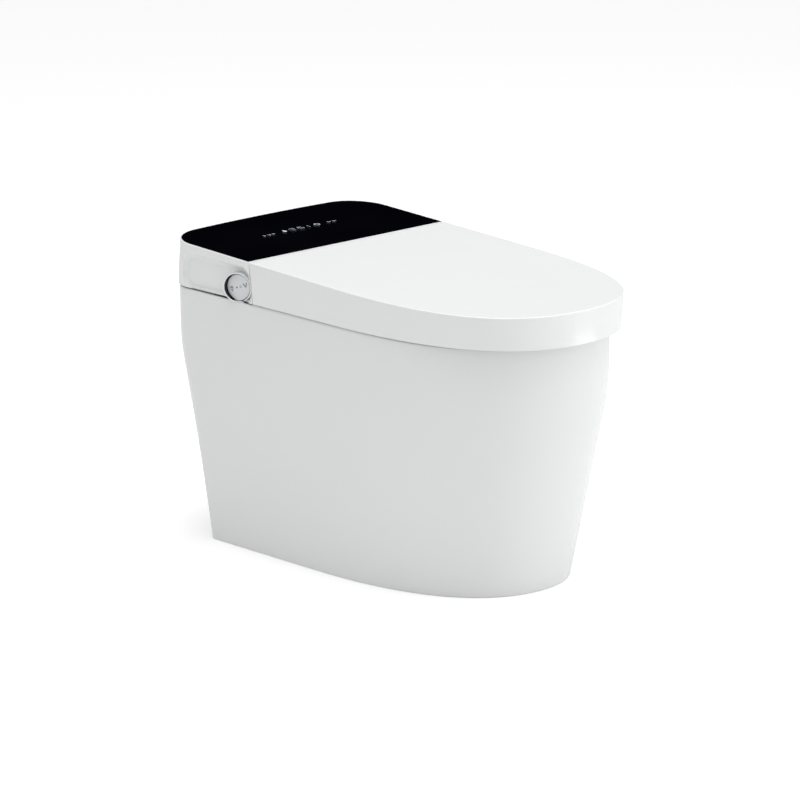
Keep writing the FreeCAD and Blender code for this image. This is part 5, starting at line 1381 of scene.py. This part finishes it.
def set_world():
    """White to the camera; to the rest a sky, dim below, with a black flag behind the piece."""
    world = bpy.data.worlds.new("studio")
    bpy.context.scene.world = world
    world.use_nodes = True
    tree = world.node_tree
    back = tree.nodes["Background"]
    ray = add_node(tree, "ShaderNodeLightPath")
    place = add_node(tree, "ShaderNodeTexCoord")
    split = add_node(tree, "ShaderNodeSeparateXYZ", {0: place.outputs["Generated"]})
    sky = add_node(tree, "ShaderNodeMapRange", {"Value": split.outputs["Z"], "From Min": 0.0,
                                                "From Max": 0.8, "To Min": 0.35, "To Max": 0.9})
    near = add_node(tree, "ShaderNodeVectorMath",
                    {0: place.outputs["Generated"], 1: FLAG_SIDE}, operation="DOT_PRODUCT")
    flag = add_node(tree, "ShaderNodeMapRange",
                    {"Value": near.outputs["Value"], "From Min": 0.75, "From Max": 0.88,
                     "To Min": 1.0, "To Max": 0.0}, interpolation_type="SMOOTHSTEP")
    lit = add_node(tree, "ShaderNodeMath", {0: sky.outputs["Result"], 1: flag.outputs["Result"]},
                   operation="MULTIPLY")
    level = add_node(tree, "ShaderNodeMix",
                     {"Factor": ray.outputs["Is Camera Ray"], "A": lit.outputs["Value"],
                      "B": 1.05}, data_type="FLOAT")
    tree.links.new(level.outputs["Result"], back.inputs["Strength"])
    back.inputs["Color"].default_value = (1, 1, 1, 1)


def set_stage(settings):
    scene = bpy.context.scene
    scene.view_settings.view_transform = "Standard"
    set_world()
    bpy.ops.object.select_all(action="DESELECT")
    bpy.ops.mesh.primitive_plane_add(size=FLOOR_SIZE)
    floor = bpy.context.object
    floor.name = "floor"
    floor.data.materials.append(pale_floor())
    add_area("overhead", OVERHEAD_PLACE, OVERHEAD_SIZE, settings.overhead_power)
    add_area("front_right", SIDE_PLACE, SIDE_SIZE, settings.side_power)
    bpy.ops.object.select_all(action="DESELECT")
    bpy.ops.object.camera_add()
    camera = bpy.context.object
    camera.name = "photo_camera"
    aim(camera, CAMERA_PLACE, CAMERA_TARGET)
    camera.data.lens = LENS
    camera.data.sensor_width = SENSOR_WIDE
    camera.data.clip_end = 100.0
    scene.camera = camera


# ---- add-on ----

class ToiletSettings(bpy.types.PropertyGroup):
    """Sizes and lights that a user can set before the pieces are made."""
    rim_round: FloatProperty(name="Rim round", description="Round of the ceramic's rim",
                             default=0.004, min=0.001, max=0.008, subtype="DISTANCE")
    bowl_flare: FloatProperty(name="Bowl flare", description="Round of the bowl's mouth",
                              default=0.008, min=0.002, max=0.01, subtype="DISTANCE")
    shell_round: FloatProperty(name="Lid round", description="Round of the lid's top edge",
                               default=0.0016, min=0.0005, max=0.004, subtype="DISTANCE")
    seat_round: FloatProperty(name="Seat round", description="Round of the seat's outer crest",
                              default=0.009, min=0.003, max=0.012, subtype="DISTANCE")
    glass_round: FloatProperty(name="Glass round", description="Broken edge of the glass",
                               default=0.0008, min=0.0002, max=0.0015, subtype="DISTANCE")
    mark_depth: FloatProperty(name="Mark depth", description="Front to back size of the marks",
                              default=0.010, min=0.004, max=0.02, subtype="DISTANCE")
    overhead_power: FloatProperty(name="Overhead light", description="Power of the top light",
                                  default=38.0, min=0.0, unit="POWER")
    side_power: FloatProperty(name="Side light", description="Power of the front right light",
                              default=13.0, min=0.0, unit="POWER")


def settings_of(context):
    return context.scene.toilet


class TOILET_OT_ceramic(bpy.types.Operator):
    """Models the ceramic body"""
    bl_idname = "toilet.ceramic"
    bl_label = "Ceramic body"

    def execute(self, context):
        make_ceramic(settings_of(context))
        return {"FINISHED"}


class TOILET_OT_cover(bpy.types.Operator):
    """Models the rear cover"""
    bl_idname = "toilet.cover"
    bl_label = "Rear cover"

    def execute(self, context):
        make_cover(settings_of(context))
        return {"FINISHED"}


class TOILET_OT_glass(bpy.types.Operator):
    """Models the glass panel and its marks"""
    bl_idname = "toilet.glass"
    bl_label = "Glass and marks"

    def execute(self, context):
        make_glass(settings_of(context))
        make_display_marks(settings_of(context))
        return {"FINISHED"}


class TOILET_OT_lid(bpy.types.Operator):
    """Models the lid shell"""
    bl_idname = "toilet.lid"
    bl_label = "Lid"

    def execute(self, context):
        make_lid(settings_of(context))
        return {"FINISHED"}


class TOILET_OT_seat(bpy.types.Operator):
    """Models the seat, its closing plate and the lid's inner panel"""
    bl_idname = "toilet.seat"
    bl_label = "Seat"

    def execute(self, context):
        make_seat(settings_of(context))
        make_seat_base(settings_of(context))
        make_liner(settings_of(context))
        return {"FINISHED"}


class TOILET_OT_knob(bpy.types.Operator):
    """Models the knob, its bezel and its marks"""
    bl_idname = "toilet.knob"
    bl_label = "Knob"

    def execute(self, context):
        make_bezel()
        make_cap()
        make_knob_marks()
        return {"FINISHED"}


class TOILET_OT_paint(bpy.types.Operator):
    """Gives the frame's own nodes their finishes"""
    bl_idname = "toilet.paint"
    bl_label = "Paint frame"

    def execute(self, context):
        paint_frame()
        return {"FINISHED"}


class TOILET_OT_stage(bpy.types.Operator):
    """Sets up floor, lights and camera"""
    bl_idname = "toilet.stage"
    bl_label = "Stage"

    def execute(self, context):
        set_stage(settings_of(context))
        return {"FINISHED"}


OPERATORS = (TOILET_OT_ceramic, TOILET_OT_cover, TOILET_OT_glass, TOILET_OT_lid,
             TOILET_OT_seat, TOILET_OT_knob, TOILET_OT_paint, TOILET_OT_stage)


class TOILET_PT_panel(bpy.types.Panel):
    """Lists the settings and one button for each group of pieces"""
    bl_idname = "TOILET_PT_panel"
    bl_label = "Smart toilet"
    bl_space_type = "VIEW_3D"
    bl_region_type = "UI"
    bl_category = "Toilet"

    def draw(self, context):
        settings = settings_of(context)
        for name in ToiletSettings.__annotations__:
            self.layout.prop(settings, name)
        for operator in OPERATORS:
            self.layout.operator(operator.bl_idname)


CLASSES = (ToiletSettings,) + OPERATORS + (TOILET_PT_panel,)


def register():
    for kind in CLASSES:
        bpy.utils.register_class(kind)
    bpy.types.Scene.toilet = PointerProperty(type=ToiletSettings)


def unregister():
    del bpy.types.Scene.toilet
    for kind in reversed(CLASSES):
        bpy.utils.unregister_class(kind)


def main():
    register()
    bpy.ops.toilet.paint()
    bpy.ops.toilet.ceramic()
    bpy.ops.toilet.cover()
    bpy.ops.toilet.glass()
    bpy.ops.toilet.lid()
    bpy.ops.toilet.seat()
    bpy.ops.toilet.knob()
    bpy.ops.toilet.stage()


if __name__ == "__main__":
    main()
